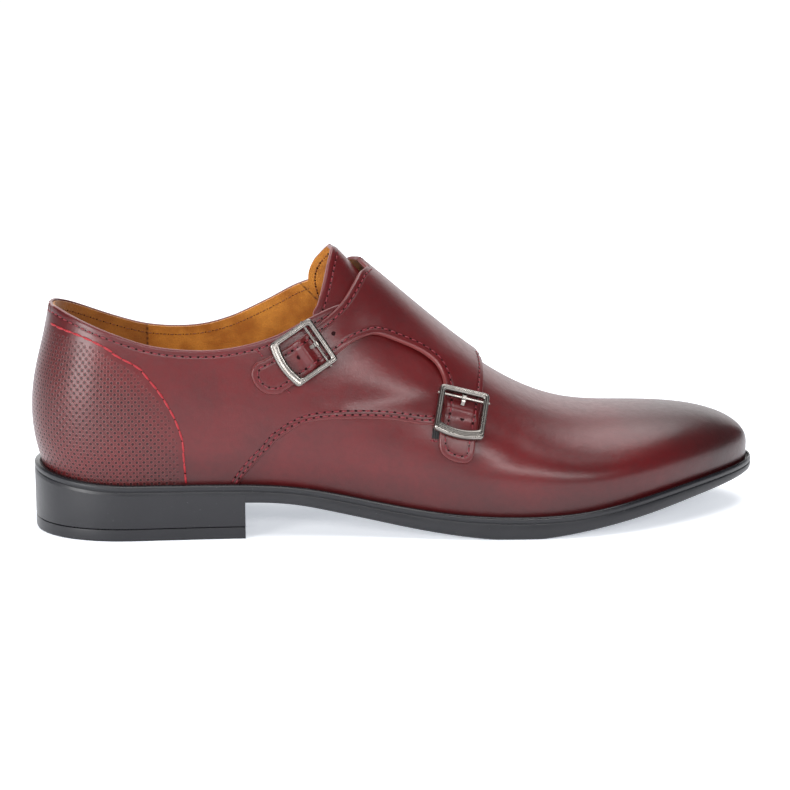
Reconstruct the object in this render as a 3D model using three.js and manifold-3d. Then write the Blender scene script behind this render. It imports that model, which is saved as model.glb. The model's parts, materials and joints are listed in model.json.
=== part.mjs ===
// Right shoe of a pair of low shoes closed by a flap with two buckled straps.
// Millimetres. X runs to the toe, Y to the inner (medial) side, Z up.
// The origin is the middle of the heel's ground face, which is also the axis of the round heel.
import * as THREE from 'three';
import { mergeVertices } from 'three/addons/utils/BufferGeometryUtils.js';
import Module from 'manifold-3d';

const wasm = await Module();
wasm.setup();

// Main sizes
const heelAxisToBack = 39.6;
const heelAxisToTip = 259.0;
const ballWidth = 93.6;
const instepHeight = 103.5;
const heelHeight = 21.6;
const heelBreastX = 41.4;
const topLiftHeight = 5.0;
const soleEdge = 4.2;
const fit = 0.3;

// Leather sizes
const vampWall = 1.6;
const quarterStep = 0.9;
const quarterFootLift = 0.25;
const strapWidth = 14.0;
const strapThickness = 2.0;
const strapLift = quarterStep + fit;
const strapHoleDiameter = 1.8;
const tongueThickness = 1.6;
const insoleThickness = 2.4;
const insoleGap = 1.1;
const insoleInset = vampWall + quarterStep + insoleGap;

// Sole sizes
const channelWidth = quarterStep + fit;
const lipHeight = 1.5;
const lipRound = 0.5;
const grooveTop = 1.3;
const grooveWidth = 1.2;
const grooveDepth = 0.7;
const grooveLip = 0.1;
const lowerEdgeRound = 1.6;
const groundBevel = 0.5;

// Plan of the last. at: share of the length from the heel axis to the tip.
// Shares of the ball width: middle of the widest outline, half its width, and how far the feather
// line lies inside it on the outer and the inner side. edge: share of the sole edge beyond it.
const plan = [
  { at: 0.00, middle: 0.005, half: 0.345, tuckOut: 0.024, tuckIn: 0.024, edge: 1.00 },
  { at: 0.12, middle: -0.003, half: 0.347, tuckOut: 0.026, tuckIn: 0.043, edge: 1.00 },
  { at: 0.24, middle: -0.025, half: 0.347, tuckOut: 0.026, tuckIn: 0.069, edge: 0.95 },
  { at: 0.36, middle: -0.048, half: 0.365, tuckOut: 0.021, tuckIn: 0.091, edge: 0.90 },
  { at: 0.48, middle: -0.056, half: 0.423, tuckOut: 0.015, tuckIn: 0.075, edge: 0.86 },
  { at: 0.60, middle: -0.038, half: 0.485, tuckOut: 0.011, tuckIn: 0.032, edge: 0.81 },
  { at: 0.70, middle: -0.011, half: 0.500, tuckOut: 0.011, tuckIn: 0.011, edge: 0.81 },
  { at: 0.80, middle: 0.021, half: 0.466, tuckOut: 0.011, tuckIn: 0.011, edge: 0.71 },
  { at: 0.90, middle: 0.053, half: 0.385, tuckOut: 0.011, tuckIn: 0.011, edge: 0.62 },
  { at: 1.00, middle: 0.075, half: 0.288, tuckOut: 0.011, tuckIn: 0.011, edge: 0.52 },
];
// Sections of the last. feather: height of the feather line, share of the heel height.
// rise: from there to the widest point, and ridgeZ: top line, shares of the instep height.
// ridgeY: share of the ball width. fullSide, fullTop: how square the section is.
const profile = [
  { at: 0.00, feather: 1.000, rise: 0.164, ridgeY: 0.005, ridgeZ: 1.295, fullSide: 0.50, fullTop: 0.50 },
  { at: 0.12, feather: 0.981, rise: 0.164, ridgeY: 0.011, ridgeZ: 1.285, fullSide: 0.50, fullTop: 0.50 },
  { at: 0.24, feather: 0.907, rise: 0.164, ridgeY: 0.021, ridgeZ: 1.208, fullSide: 0.50, fullTop: 0.50 },
  { at: 0.36, feather: 0.648, rise: 0.164, ridgeY: 0.037, ridgeZ: 1.000, fullSide: 0.50, fullTop: 0.50 },
  { at: 0.48, feather: 0.431, rise: 0.155, ridgeY: 0.048, ridgeZ: 0.744, fullSide: 0.50, fullTop: 0.52 },
  { at: 0.60, feather: 0.370, rise: 0.135, ridgeY: 0.059, ridgeZ: 0.531, fullSide: 0.52, fullTop: 0.52 },
  { at: 0.70, feather: 0.431, rise: 0.116, ridgeY: 0.064, ridgeZ: 0.435, fullSide: 0.54, fullTop: 0.55 },
  { at: 0.80, feather: 0.611, rise: 0.097, ridgeY: 0.064, ridgeZ: 0.417, fullSide: 0.56, fullTop: 0.58 },
  { at: 0.90, feather: 0.750, rise: 0.082, ridgeY: 0.069, ridgeZ: 0.420, fullSide: 0.58, fullTop: 0.60 },
  { at: 1.00, feather: 0.824, rise: 0.068, ridgeY: 0.075, ridgeZ: 0.415, fullSide: 0.60, fullTop: 0.62 },
];
// How sharply the widths and the ridge close at the tip.
const closing = { width: 11, ridge: 13 };
// Share of a half section that lies under its widest point, and the pulls of the curve there.
const lowShare = 0.25;
const footPull = 0.35;
const sidePull = 0.60;

// Back curve of the heel. at: share of its height above the feather line. out: how far it stands
// back, share of the heel's length behind the axis.
const backHeight = 70;
const backCurve = [
  { at: 0.0, out: -0.008 },
  { at: 0.2, out: 0.068 },
  { at: 0.4, out: 0.083 },
  { at: 0.6, out: 0.038 },
  { at: 0.8, out: -0.045 },
  { at: 1.0, out: -0.116 },
];
const backRise = 4.5;
const backLean = 0.12;
const heelRoundness = 2.25;

// Underside of the sole unit. at: share of the length. up: share of the heel height, below the
// ground where the ball's flat spot is trimmed.
const underside = [
  { at: -0.232, up: 0.685 },
  { at: 0.116, up: 0.685 },
  { at: 0.174, up: 0.681 },
  { at: 0.236, up: 0.630 },
  { at: 0.297, up: 0.491 },
  { at: 0.355, up: 0.343 },
  { at: 0.413, up: 0.204 },
  { at: 0.471, up: 0.093 },
  { at: 0.525, up: 0.019 },
  { at: 0.564, up: -0.014 },
  { at: 0.610, up: -0.009 },
  { at: 0.649, up: 0.037 },
  { at: 0.718, up: 0.153 },
  { at: 0.799, up: 0.306 },
  { at: 0.876, up: 0.454 },
  { at: 0.946, up: 0.556 },
  { at: 1.012, up: 0.639 },
];

// Side of the sole unit. out: beyond the feather line, a share of the edge there plus an amount.
// up: above the feather line.
const soleSide = [
  { share: 0, plus: channelWidth, up: -fit },
  { share: 0, plus: channelWidth, up: lipHeight - lipRound },
  { share: 0.5, plus: channelWidth / 2, up: lipHeight },
  { share: 1, plus: -lipRound, up: lipHeight - lipRound },
  { share: 1, plus: 0, up: 0 },
  { share: 1, plus: -grooveLip, up: -grooveTop },
  { share: 1, plus: -grooveDepth, up: -grooveTop - grooveWidth / 3 },
  { share: 1, plus: -grooveDepth, up: -grooveTop - 2 * grooveWidth / 3 },
  { share: 1, plus: -grooveLip, up: -grooveTop - grooveWidth },
];
// Lower edge of the sole unit. up: above the underside. Both are shares of the edge's rounding.
const soleLowerEdge = [
  { plus: -0.06, up: 1.00 },
  { plus: -0.38, up: 0.31 },
  { plus: -1.00, up: 0.00 },
];

// Side-view outlines. Each row is [at, up]: at is a share of the length in front of the heel axis,
// or of the heel's length behind it, and up is a share of the instep height.
const toplineOuter = [
  [-1.263, 0.928], [-0.909, 0.900], [-0.783, 0.893], [-0.293, 0.821], [0.022, 0.767], [0.093, 0.748],
  [0.151, 0.759], [0.210, 0.798], [0.263, 0.860], [0.309, 0.902], [0.355, 0.908], [0.402, 0.870],
  [0.448, 0.812],
];
const toplineInner = [
  [-1.263, 0.928], [-0.909, 0.900], [-0.783, 0.883], [-0.293, 0.798], [0.022, 0.748], [0.093, 0.740],
  [0.151, 0.773], [0.210, 0.844], [0.263, 0.918], [0.309, 0.951], [0.355, 0.937], [0.402, 0.884],
  [0.448, 0.812],
];
const quarterEdge = [
  [0.147, 0.155], [0.151, 0.217], [0.181, 0.315], [0.208, 0.390], [0.245, 0.453], [0.270, 0.469],
  [0.295, 0.474], [0.344, 0.476], [0.393, 0.470], [0.443, 0.451], [0.479, 0.464], [0.506, 0.512],
  [0.529, 0.580], [0.548, 0.725],
];
const flapRear = [
  [0.386, 1.179], [0.373, 1.063], [0.369, 1.026], [0.361, 1.020], [0.351, 1.012], [0.341, 0.985],
  [0.312, 0.906],
];
const flapArch = [
  [0.306, 0.729], [0.329, 0.767], [0.355, 0.790], [0.373, 0.790], [0.398, 0.767], [0.436, 0.723],
  [0.461, 0.676], [0.473, 0.623],
];
const flapFront = [
  [0.527, 0.493], [0.537, 0.563], [0.547, 0.624], [0.551, 0.667], [0.554, 0.734], [0.556, 0.870],
];
const flapInner = [
  [0.386, 1.179], [0.369, 1.063], [0.355, 1.047], [0.340, 1.034], [0.331, 0.995], [0.328, 0.937],
  [0.334, 0.879], [0.375, 0.773], [0.432, 0.643], [0.479, 0.541], [0.514, 0.478], [0.533, 0.483],
  [0.543, 0.541], [0.548, 0.609], [0.551, 0.676], [0.554, 0.734], [0.556, 0.870],
];
const tongueOuter = [
  [0.340, 1.217], [0.318, 1.140], [0.307, 1.096], [0.302, 1.057], [0.296, 1.014], [0.281, 0.913],
  [0.272, 0.865], [0.282, 0.773], [0.355, 0.676], [0.432, 0.599], [0.486, 0.580], [0.502, 0.638],
  [0.506, 0.773],
];
const tongueInner = [
  [0.340, 1.217], [0.318, 1.140], [0.307, 1.096], [0.296, 1.065], [0.285, 1.024], [0.278, 0.961],
  [0.283, 0.879], [0.301, 0.792], [0.363, 0.676], [0.432, 0.599], [0.486, 0.580], [0.502, 0.638],
  [0.506, 0.773],
];
// The tongue stands up behind a share of the length, over a share of it, near the ridge alone.
const tongueFlare = { height: 2.6, from: 0.371, over: 0.069, lowRow: 0.80, highRow: 0.98 };

// Straps. at, up: middle of the buckle, as in the outlines. heading: way of the strap in the side
// view, in degrees. Rows of tip, holes and keeper are [along, across] as shares of the strap width.
const straps = [
  {
    name: 'upper',
    at: 0.252,
    up: 0.726,
    heading: 213.9,
    tip: [
      [-0.94, 0.44], [0.15, 0.45], [0.95, 0.54], [1.24, 0.59], [1.51, 0.43], [1.60, 0.07],
      [1.47, -0.30], [1.15, -0.51],
    ],
    holes: [[0.13, 0.03], [-1.06, -0.03]],
  },
  {
    name: 'lower',
    at: 0.493,
    up: 0.477,
    heading: 255.5,
    tip: [
      [-0.50, 0.51], [0.08, 0.49], [0.67, 0.48], [1.03, 0.34], [1.18, 0.02], [1.15, -0.41],
      [0.90, -0.57], [0.48, -0.55],
    ],
    holes: [[0.00, -0.06]],
  },
];
const [upperStrap, lowerStrap] = straps;
const keeperOnStrap = [[0.75, 0.65], [0.68, -0.20], [0.38, -0.17], [0.47, 0.68]];

// Buckle sizes
const frameLong = 20.0;
const frameAcross = 20.6;
const frameThick = 2.8;
const sideBar = 2.2;
const frontBar = 3.6;
const frontBow = 1.3;
const bowShoulder = 0.2;
const bowPull = 1.9;
const frameCorner = 1.6;
const frameBevel = 0.35;
const pinDiameter = 1.1;
const pinBore = pinDiameter + 2 * fit;
const pinOverhang = 0.5;
const pinSetback = 1.6;
const prongWidth = 1.7;
const prongWall = 0.45;
const prongReach = 3.0;
const prongFingerWidth = 1.4;
// Side of the prong's finger. along: share of its reach. up: share of its sleeve's radius.
const prongFinger = [
  { along: 0.00, up: 0.55 },
  { along: 0.60, up: 0.23 },
  { along: 1.00, up: -0.69 },
  { along: 0.83, up: -1.00 },
  { along: 0.00, up: -0.55 },
];

// Fineness of grids and curves
const fanSteps = 11;
const frontSteps = 38;
const frontBias = 1.85;
const lowRows = 4;
const highRows = 8;
const spanSteps = 3;
const cornerSteps = 3;
const pinSides = 12;
const sleeveSides = 16;
const holeSides = 10;

const colours = {
  leather: { color: '#5d1b22', roughness: 0.4, metalness: 0 },
  lining: { color: '#a8702b', roughness: 0.85, metalness: 0 },
  rubber: { color: '#232326', roughness: 0.55, metalness: 0 },
  elastic: { color: '#141416', roughness: 0.8, metalness: 0 },
  metal: { color: '#8f8d88', roughness: 0.3, metalness: 1 },
};

// Smooth value through table rows, with straight natural ends.
function splineOf(xs, ys) {
  const n = xs.length;
  const bend = new Array(n).fill(0);
  const carry = new Array(n).fill(0);
  for (let i = 1; i < n - 1; i += 1) {
    const left = xs[i] - xs[i - 1];
    const right = xs[i + 1] - xs[i];
    const share = left / (left + right);
    const pivot = share * bend[i - 1] + 2;
    bend[i] = (share - 1) / pivot;
    const turn = (ys[i + 1] - ys[i]) / right - (ys[i] - ys[i - 1]) / left;
    carry[i] = (6 * turn / (left + right) - share * carry[i - 1]) / pivot;
  }
  for (let i = n - 2; i >= 0; i -= 1) {
    bend[i] = bend[i] * bend[i + 1] + carry[i];
  }
  return (x) => {
    let i = 0;
    while (i < n - 2 && x > xs[i + 1]) {
      i += 1;
    }
    const h = xs[i + 1] - xs[i];
    const a = (xs[i + 1] - x) / h;
    const b = (x - xs[i]) / h;
    return a * ys[i] + b * ys[i + 1] + ((a ** 3 - a) * bend[i] + (b ** 3 - b) * bend[i + 1]) * h * h / 6;
  };
}

// One smooth function for each column of a table, in the unit of the size that it is a share of.
function columnsOf(table, sizes) {
  const at = table.map((row) => row.at);
  const entries = Object.entries(sizes).map(([name, size]) => {
    return [name, splineOf(at, table.map((row) => row[name] * size))];
  });
  return Object.fromEntries(entries);
}

const column = {
  ...columnsOf(plan, {
    middle: ballWidth, half: ballWidth, tuckOut: ballWidth, tuckIn: ballWidth, edge: soleEdge,
  }),
  ...columnsOf(profile, {
    feather: heelHeight, rise: instepHeight, ridgeY: ballWidth, ridgeZ: instepHeight, fullSide: 1, fullTop: 1,
  }),
};
const backOut = columnsOf(backCurve, { out: heelAxisToBack }).out;
const undersideOf = columnsOf(underside, { up: heelHeight }).up;
const undersideAt = (x) => Math.max(undersideOf(x / heelAxisToTip), 0);

// Side-view points of an outline's rows, and of rows that lie on a strap.
const placeX = (at) => at * (at < 0 ? heelAxisToBack : heelAxisToTip);
const sideView = (rows) => rows.map(([at, up]) => [placeX(at), up * instepHeight]);

function onStrap(strap, rows) {
  const heading = THREE.MathUtils.degToRad(strap.heading);
  const [aheadX, aheadZ] = [Math.cos(heading), Math.sin(heading)];
  const [[middleX, middleZ]] = sideView([[strap.at, strap.up]]);
  return rows.map(([along, across]) => [
    middleX + strapWidth * (along * aheadX + across * aheadZ),
    middleZ + strapWidth * (along * aheadZ - across * aheadX),
  ]);
}

function bezier(a, b, c, d, t) {
  const s = 1 - t;
  return a * s ** 3 + 3 * b * t * s * s + 3 * c * t * t * s + d * t ** 3;
}

const closure = (share, power) => Math.sqrt(Math.max(0, 1 - share ** power));

// Half section in front of the heel axis. row runs from the feather line (0) to the ridge (1).
function sectionPoint(share, row, side) {
  const wide = closure(share, closing.width);
  const half = column.half(share) * wide;
  const middle = column.middle(share);
  const girthY = middle + side * half;
  const tuck = (side < 0 ? column.tuckOut(share) : column.tuckIn(share)) * wide;
  const featherY = girthY - side * tuck;
  const featherZ = column.feather(share);
  const rise = column.rise(share);
  const girthZ = featherZ + rise;
  const crown = (column.ridgeZ(share) - girthZ) * closure(share, closing.ridge);
  const ridgeY = column.ridgeY(share);
  const x = share * heelAxisToTip;
  if (row < lowShare) {
    const t = row / lowShare;
    const y = bezier(featherY, featherY, girthY, girthY, t);
    const z = bezier(featherZ, featherZ + footPull * rise, featherZ + sidePull * rise, girthZ, t);
    return new THREE.Vector3(x, y, z);
  }
  const t = (row - lowShare) / (1 - lowShare);
  const y = bezier(girthY, girthY, ridgeY + column.fullTop(share) * (girthY - ridgeY), ridgeY, t);
  const top = girthZ + crown;
  const z = bezier(girthZ, girthZ + column.fullSide(share) * crown, top, top, t);
  return new THREE.Vector3(x, y, z);
}

// Round heel: each level of the section at the heel axis is carried round to the back curve.
function heelPoint(turn, row, side) {
  const start = sectionPoint(0, row, side);
  const level = (start.z - column.feather(0)) / backHeight;
  const over = Math.max(level - 1, 0) * backHeight * backLean;
  const back = heelAxisToBack + backOut(Math.min(Math.max(level, 0), 1)) - over;
  const sine = Math.sin(turn) ** (2 / heelRoundness);
  const cosine = Math.max(Math.cos(turn), 0) ** (2 / heelRoundness);
  const middle = column.middle(0);
  const rise = backRise * Math.sin(turn) ** 2 * (1 - Math.min(level, 1));
  return new THREE.Vector3(-back * sine, middle + (start.y - middle) * cosine, start.z + rise);
}

// Stations from the back of the heel to the tip. Negative values turn round the heel.
const stations = [];
for (let i = 0; i < fanSteps; i += 1) {
  stations.push(i / fanSteps - 1);
}
for (let i = 0; i <= frontSteps; i += 1) {
  stations.push(1 - (1 - i / frontSteps) ** frontBias);
}
// The station nearest the heel's breast is moved onto it.
const breastShare = heelBreastX / heelAxisToTip;
const breastGaps = stations.map((share) => Math.abs(share - breastShare));
const breastStation = breastGaps.indexOf(Math.min(...breastGaps));
stations[breastStation] = breastShare;
const rows = [];
for (let j = 0; j < lowRows; j += 1) {
  rows.push(lowShare * j / lowRows);
}
for (let j = 0; j <= highRows; j += 1) {
  rows.push(lowShare + (1 - lowShare) * j / highRows);
}
const ridgeRow = rows.length - 1;
const lastRow = 2 * ridgeRow;

// Grid of the last: outer side rows, the ridge, then inner side rows back down.
const lastPoints = stations.map((share) => {
  const line = [];
  for (let j = 0; j <= lastRow; j += 1) {
    const side = j <= ridgeRow ? -1 : 1;
    const row = rows[Math.min(j, lastRow - j)];
    line.push(share < 0 ? heelPoint(-share * Math.PI / 2, row, side) : sectionPoint(share, row, side));
  }
  return line;
});
const lastNormals = normalsOf(lastPoints);

// Outward directions of the grid, shared along the closed back line and at the tip.
function normalsOf(points) {
  const last = points.length - 1;
  const sums = points.map((line) => line.map(() => new THREE.Vector3()));
  const cross = new THREE.Vector3();
  const edge = new THREE.Vector3();
  for (let i = 0; i < last; i += 1) {
    for (let j = 0; j < lastRow; j += 1) {
      cross.subVectors(points[i + 1][j + 1], points[i][j]);
      edge.subVectors(points[i][j + 1], points[i + 1][j]);
      cross.cross(edge);
      sums[i][j].add(cross);
      sums[i + 1][j].add(cross);
      sums[i][j + 1].add(cross);
      sums[i + 1][j + 1].add(cross);
    }
  }
  for (let j = 0; j <= lastRow; j += 1) {
    sums[last][j].set(1, 0, 0);
    if (j <= ridgeRow) {
      const both = sums[0][j].clone().add(sums[0][lastRow - j]);
      both.y = 0;
      sums[0][j].copy(both);
      sums[0][lastRow - j].copy(both);
    }
  }
  for (const line of sums) {
    line[0].z = 0;
    line[lastRow].z = 0;
    line.forEach((normal) => normal.normalize());
  }
  return sums;
}

// Closed solid from a list of triangles given as points.
function solidOf(triangles) {
  const positions = new Float32Array(triangles.flatMap((p) => [p.x, p.y, p.z]));
  const geometry = new THREE.BufferGeometry();
  geometry.setAttribute('position', new THREE.BufferAttribute(positions, 3));
  return manifoldOf(geometry);
}

function manifoldOf(source) {
  const bare = source.clone();
  bare.deleteAttribute('normal');
  bare.deleteAttribute('uv');
  const merged = mergeVertices(bare, 1e-3);
  const index = [];
  const all = merged.index.array;
  for (let k = 0; k < all.length; k += 3) {
    const [a, b, c] = [all[k], all[k + 1], all[k + 2]];
    if (a !== b && b !== c && c !== a) {
      index.push(a, b, c);
    }
  }
  const mesh = new wasm.Mesh({
    numProp: 3,
    vertProperties: new Float32Array(merged.attributes.position.array),
    triVerts: new Uint32Array(index),
  });
  return new wasm.Manifold(mesh);
}

const quad = (out, a, b, c, d) => out.push(a, b, c, a, c, d);

// Wall between two depths from the last. depthOf(i, j) gives the pair; footLift raises its lower edges.
function lastShell(depthOf, fromStation, toStation, footLift = 0) {
  const triangles = [];
  const outer = [];
  const inner = [];
  for (let i = fromStation; i <= toStation; i += 1) {
    outer.push([]);
    inner.push([]);
    for (let j = 0; j <= lastRow; j += 1) {
      const [low, high] = depthOf(i, j);
      outer.at(-1).push(lastPoints[i][j].clone().addScaledVector(lastNormals[i][j], high));
      inner.at(-1).push(lastPoints[i][j].clone().addScaledVector(lastNormals[i][j], low));
    }
    for (const foot of [outer.at(-1)[0], outer.at(-1)[lastRow], inner.at(-1)[0], inner.at(-1)[lastRow]]) {
      foot.z += footLift;
    }
  }
  const count = outer.length - 1;
  for (let i = 0; i < count; i += 1) {
    for (let j = 0; j < lastRow; j += 1) {
      quad(triangles, outer[i][j], outer[i + 1][j], outer[i + 1][j + 1], outer[i][j + 1]);
      quad(triangles, inner[i][j], inner[i][j + 1], inner[i + 1][j + 1], inner[i + 1][j]);
    }
    quad(triangles, outer[i][0], inner[i][0], inner[i + 1][0], outer[i + 1][0]);
    quad(triangles, outer[i][lastRow], outer[i + 1][lastRow], inner[i + 1][lastRow], inner[i][lastRow]);
  }
  if (fromStation > 0) {
    for (let j = 0; j < lastRow; j += 1) {
      quad(triangles, outer[0][j], outer[0][j + 1], inner[0][j + 1], inner[0][j]);
    }
  }
  if (toStation < stations.length - 1) {
    for (let j = 0; j < lastRow; j += 1) {
      quad(triangles, outer[count][j], inner[count][j], inner[count][j + 1], outer[count][j + 1]);
    }
  }
  return solidOf(triangles);
}

// Side-view outline carried across the shoe from one y to another.
function prism(outline, fromY, toY) {
  const shape = new THREE.Shape(outline.map(([x, z]) => new THREE.Vector2(x, z)));
  const geometry = new THREE.ExtrudeGeometry(shape, { depth: toY - fromY, bevelEnabled: false });
  geometry.rotateX(Math.PI / 2);
  geometry.translate(0, toY, 0);
  return manifoldOf(geometry);
}

// Smooth line through points, ends kept.
function smooth(points) {
  const curve = new THREE.SplineCurve(points.map(([x, z]) => new THREE.Vector2(x, z)));
  return curve.getPoints(spanSteps * (points.length - 1)).map((p) => [p.x, p.y]);
}

const joinLines = (...lines) => lines.flatMap((line, k) => (k === 0 ? line : line.slice(1)));

// Stations that reach past both ends of a side-view outline.
function stationsPast(outline) {
  const xs = outline.map(([x]) => x);
  const from = stations.findLastIndex((share) => placeX(share) < Math.min(...xs));
  const to = stations.findIndex((share) => placeX(share) > Math.max(...xs));
  return [from, to];
}

// Ends of the prisms: past the widest side, above the highest ridge, behind the heel, and where
// the outer and the inner outlines meet.
const farSide = ballWidth;
const above = 1.5 * instepHeight;
const behind = -1.8 * heelAxisToBack;
const ridgeSplit = 0.043 * ballWidth;

// Space above a topline on one side.
function aboveTopline(topline, fromY, toY) {
  const line = smooth(sideView(topline));
  return prism([...line, [line.at(-1)[0], above], [line[0][0], above]], fromY, toY);
}

// Upper: hollow vamp wall with the thicker quarters over it, open above the topline.
function upperSolid() {
  const tip = stations.length - 1;
  const vamp = lastShell(() => [-vampWall, 0], 0, tip);
  const edge = smooth(sideView(quarterEdge));
  const [, quarterEnd] = stationsPast(edge);
  const quarters = lastShell(() => [-vampWall / 2, quarterStep], 0, quarterEnd, quarterFootLift);
  const area = [[behind, 0], ...edge, [edge.at(-1)[0], above], [behind, above]];
  const outerCut = aboveTopline(toplineOuter, -farSide, ridgeSplit);
  const innerCut = aboveTopline(toplineInner, ridgeSplit, farSide);
  return vamp.add(quarters.intersect(prism(area, -farSide, farSide))).subtract(outerCut.add(innerCut));
}

// Tongue: under the quarters, rising a little towards its free top end.
function tongueSolid() {
  const outer = smooth(sideView(tongueOuter));
  const inner = smooth(sideView(tongueInner));
  const [from, to] = stationsPast(outer.concat(inner));
  const base = -vampWall - fit;
  const shell = lastShell((i, j) => {
    const row = rows[Math.min(j, lastRow - j)];
    const along = THREE.MathUtils.smoothstep(tongueFlare.from - stations[i], 0, tongueFlare.over);
    const across = THREE.MathUtils.smoothstep(row, tongueFlare.lowRow, tongueFlare.highRow);
    const lift = tongueFlare.height * along * across;
    return [base - tongueThickness + lift, base + lift];
  }, from, to);
  return shell.intersect(prism(outer, -farSide, ridgeSplit).add(prism(inner, ridgeSplit, farSide)));
}

// Flap over the instep with both strap ends, cut from one skin above the quarters.
function flapSolid() {
  const upperTip = onStrap(upperStrap, upperStrap.tip);
  const lowerTip = onStrap(lowerStrap, lowerStrap.tip);
  const outline = joinLines(
    smooth([...sideView(flapRear), upperTip[0]]),
    smooth(upperTip),
    smooth([upperTip.at(-1), ...sideView(flapArch), lowerTip[0]]),
    smooth(lowerTip),
    smooth([lowerTip.at(-1), ...sideView(flapFront)]),
  );
  const [from, to] = stationsPast(outline);
  const shell = lastShell(() => [strapLift, strapLift + strapThickness], from, to);
  const inner = prism(smooth(sideView(flapInner)), ridgeSplit, farSide);
  const flap = shell.intersect(prism(outline, -farSide, ridgeSplit).add(inner));
  const holes = straps.flatMap((strap) => onStrap(strap, strap.holes)).map(([x, z]) => {
    const radius = strapHoleDiameter / 2;
    const cutter = new THREE.CylinderGeometry(radius, radius, farSide, holeSides);
    cutter.translate(x, -farSide / 2, z);
    return manifoldOf(cutter);
  });
  return holes.reduce((solid, hole) => solid.subtract(hole), flap);
}

// Elastic keeper: the band beside the lower strap, under it.
function keeperSolid() {
  const outline = onStrap(lowerStrap, keeperOnStrap);
  const [from, to] = stationsPast(outline);
  const shell = lastShell(() => [fit, quarterStep], from, to);
  return shell.intersect(prism(outline, -farSide, 0));
}

// Ring of points that follows the feather line, set out by an amount at a height of its own.
function soleRing(outOf, heightOf, lastStation) {
  const outerLine = [];
  const innerLine = [];
  for (let i = 0; i <= lastStation; i += 1) {
    const share = Math.max(stations[i], 0);
    for (const [line, j] of [[outerLine, 0], [innerLine, lastRow]]) {
      const foot = lastPoints[i][j].clone();
      const out = outOf(column.edge(share));
      foot.addScaledVector(lastNormals[i][j], out);
      foot.z = heightOf(foot.z, foot.x);
      line.push(foot);
    }
  }
  return [outerLine, innerLine];
}

// Solid from rings that go down the outside; the first and last are closed across.
function ringSolid(rings) {
  const triangles = [];
  const count = rings[0][0].length - 1;
  const top = rings[0];
  const bottom = rings.at(-1);
  for (let i = 0; i < count; i += 1) {
    quad(triangles, top[0][i], top[0][i + 1], top[1][i + 1], top[1][i]);
    quad(triangles, bottom[0][i], bottom[1][i], bottom[1][i + 1], bottom[0][i + 1]);
    for (let k = 0; k < rings.length - 1; k += 1) {
      const [a, b] = [rings[k], rings[k + 1]];
      quad(triangles, a[0][i], b[0][i], b[0][i + 1], a[0][i + 1]);
      quad(triangles, a[1][i], a[1][i + 1], b[1][i + 1], b[1][i]);
    }
  }
  for (let k = 0; k < rings.length - 1; k += 1) {
    const [a, b] = [rings[k], rings[k + 1]];
    quad(triangles, a[0][count], b[0][count], b[1][count], a[1][count]);
  }
  return solidOf(triangles);
}

// Sole unit: outsole with its lip, channel and groove, and the heel block under it.
function soleSolid() {
  const tip = stations.length - 1;
  const rings = soleSide.map((row) => {
    return soleRing((edge) => row.share * edge + row.plus, (z) => z + row.up, tip);
  });
  for (const row of soleLowerEdge) {
    const [plus, up] = [row.plus * lowerEdgeRound, row.up * lowerEdgeRound];
    rings.push(soleRing((edge) => edge + plus, (z, x) => undersideAt(x) + up, tip));
  }
  const outsole = ringSolid(rings);
  const heelTop = soleSide.at(-1).up - fit;
  const block = ringSolid([
    soleRing((edge) => edge, (z) => z + heelTop, breastStation),
    soleRing((edge) => edge, () => topLiftHeight + fit, breastStation),
  ]);
  return outsole.add(block);
}

function topLiftSolid() {
  return ringSolid([
    soleRing((edge) => edge, () => topLiftHeight, breastStation),
    soleRing((edge) => edge, () => groundBevel, breastStation),
    soleRing((edge) => edge - groundBevel, () => 0, breastStation),
  ]);
}

// Insole: fills the bottom of the upper inside its wall.
function insoleSolid() {
  const tip = stations.length - 1;
  const ringAt = (up) => {
    const ring = [[], []];
    for (let i = 0; i <= tip; i += 1) {
      const share = Math.max(stations[i], 0);
      const reach = stations[i] < 0 ? heelAxisToBack : heelAxisToTip;
      const middle = column.middle(share);
      const narrow = 1 - insoleInset / column.half(share);
      [0, lastRow].forEach((j, k) => {
        const foot = lastPoints[i][j];
        const x = foot.x * (1 - insoleInset / reach);
        ring[k].push(new THREE.Vector3(x, middle + (foot.y - middle) * narrow, foot.z + up));
      });
    }
    return ring;
  };
  return ringSolid([ringAt(insoleThickness), ringAt(0)]);
}

// Place of a buckle on its strap's face, found by its height on the section.
function strapSeat(strap) {
  const [[x, z]] = sideView([[strap.at, strap.up]]);
  const heading = THREE.MathUtils.degToRad(strap.heading);
  const step = 0.002;
  let row = lowShare;
  while (row < 1 && sectionPoint(strap.at, row, -1).z < z) {
    row += step;
  }
  const foot = sectionPoint(strap.at, row, -1);
  const along = sectionPoint(strap.at + step, row, -1).sub(sectionPoint(strap.at - step, row, -1));
  const round = sectionPoint(strap.at, row + step, -1).sub(sectionPoint(strap.at, row - step, -1));
  const normal = along.cross(round).normalize();
  const forward = new THREE.Vector3(Math.cos(heading), 0, Math.sin(heading));
  forward.addScaledVector(normal, -forward.dot(normal)).normalize();
  const across = new THREE.Vector3().crossVectors(normal, forward);
  const origin = foot.addScaledVector(normal, strapLift + strapThickness + fit);
  return new THREE.Matrix4().makeBasis(forward, across, normal).setPosition(origin);
}

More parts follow.
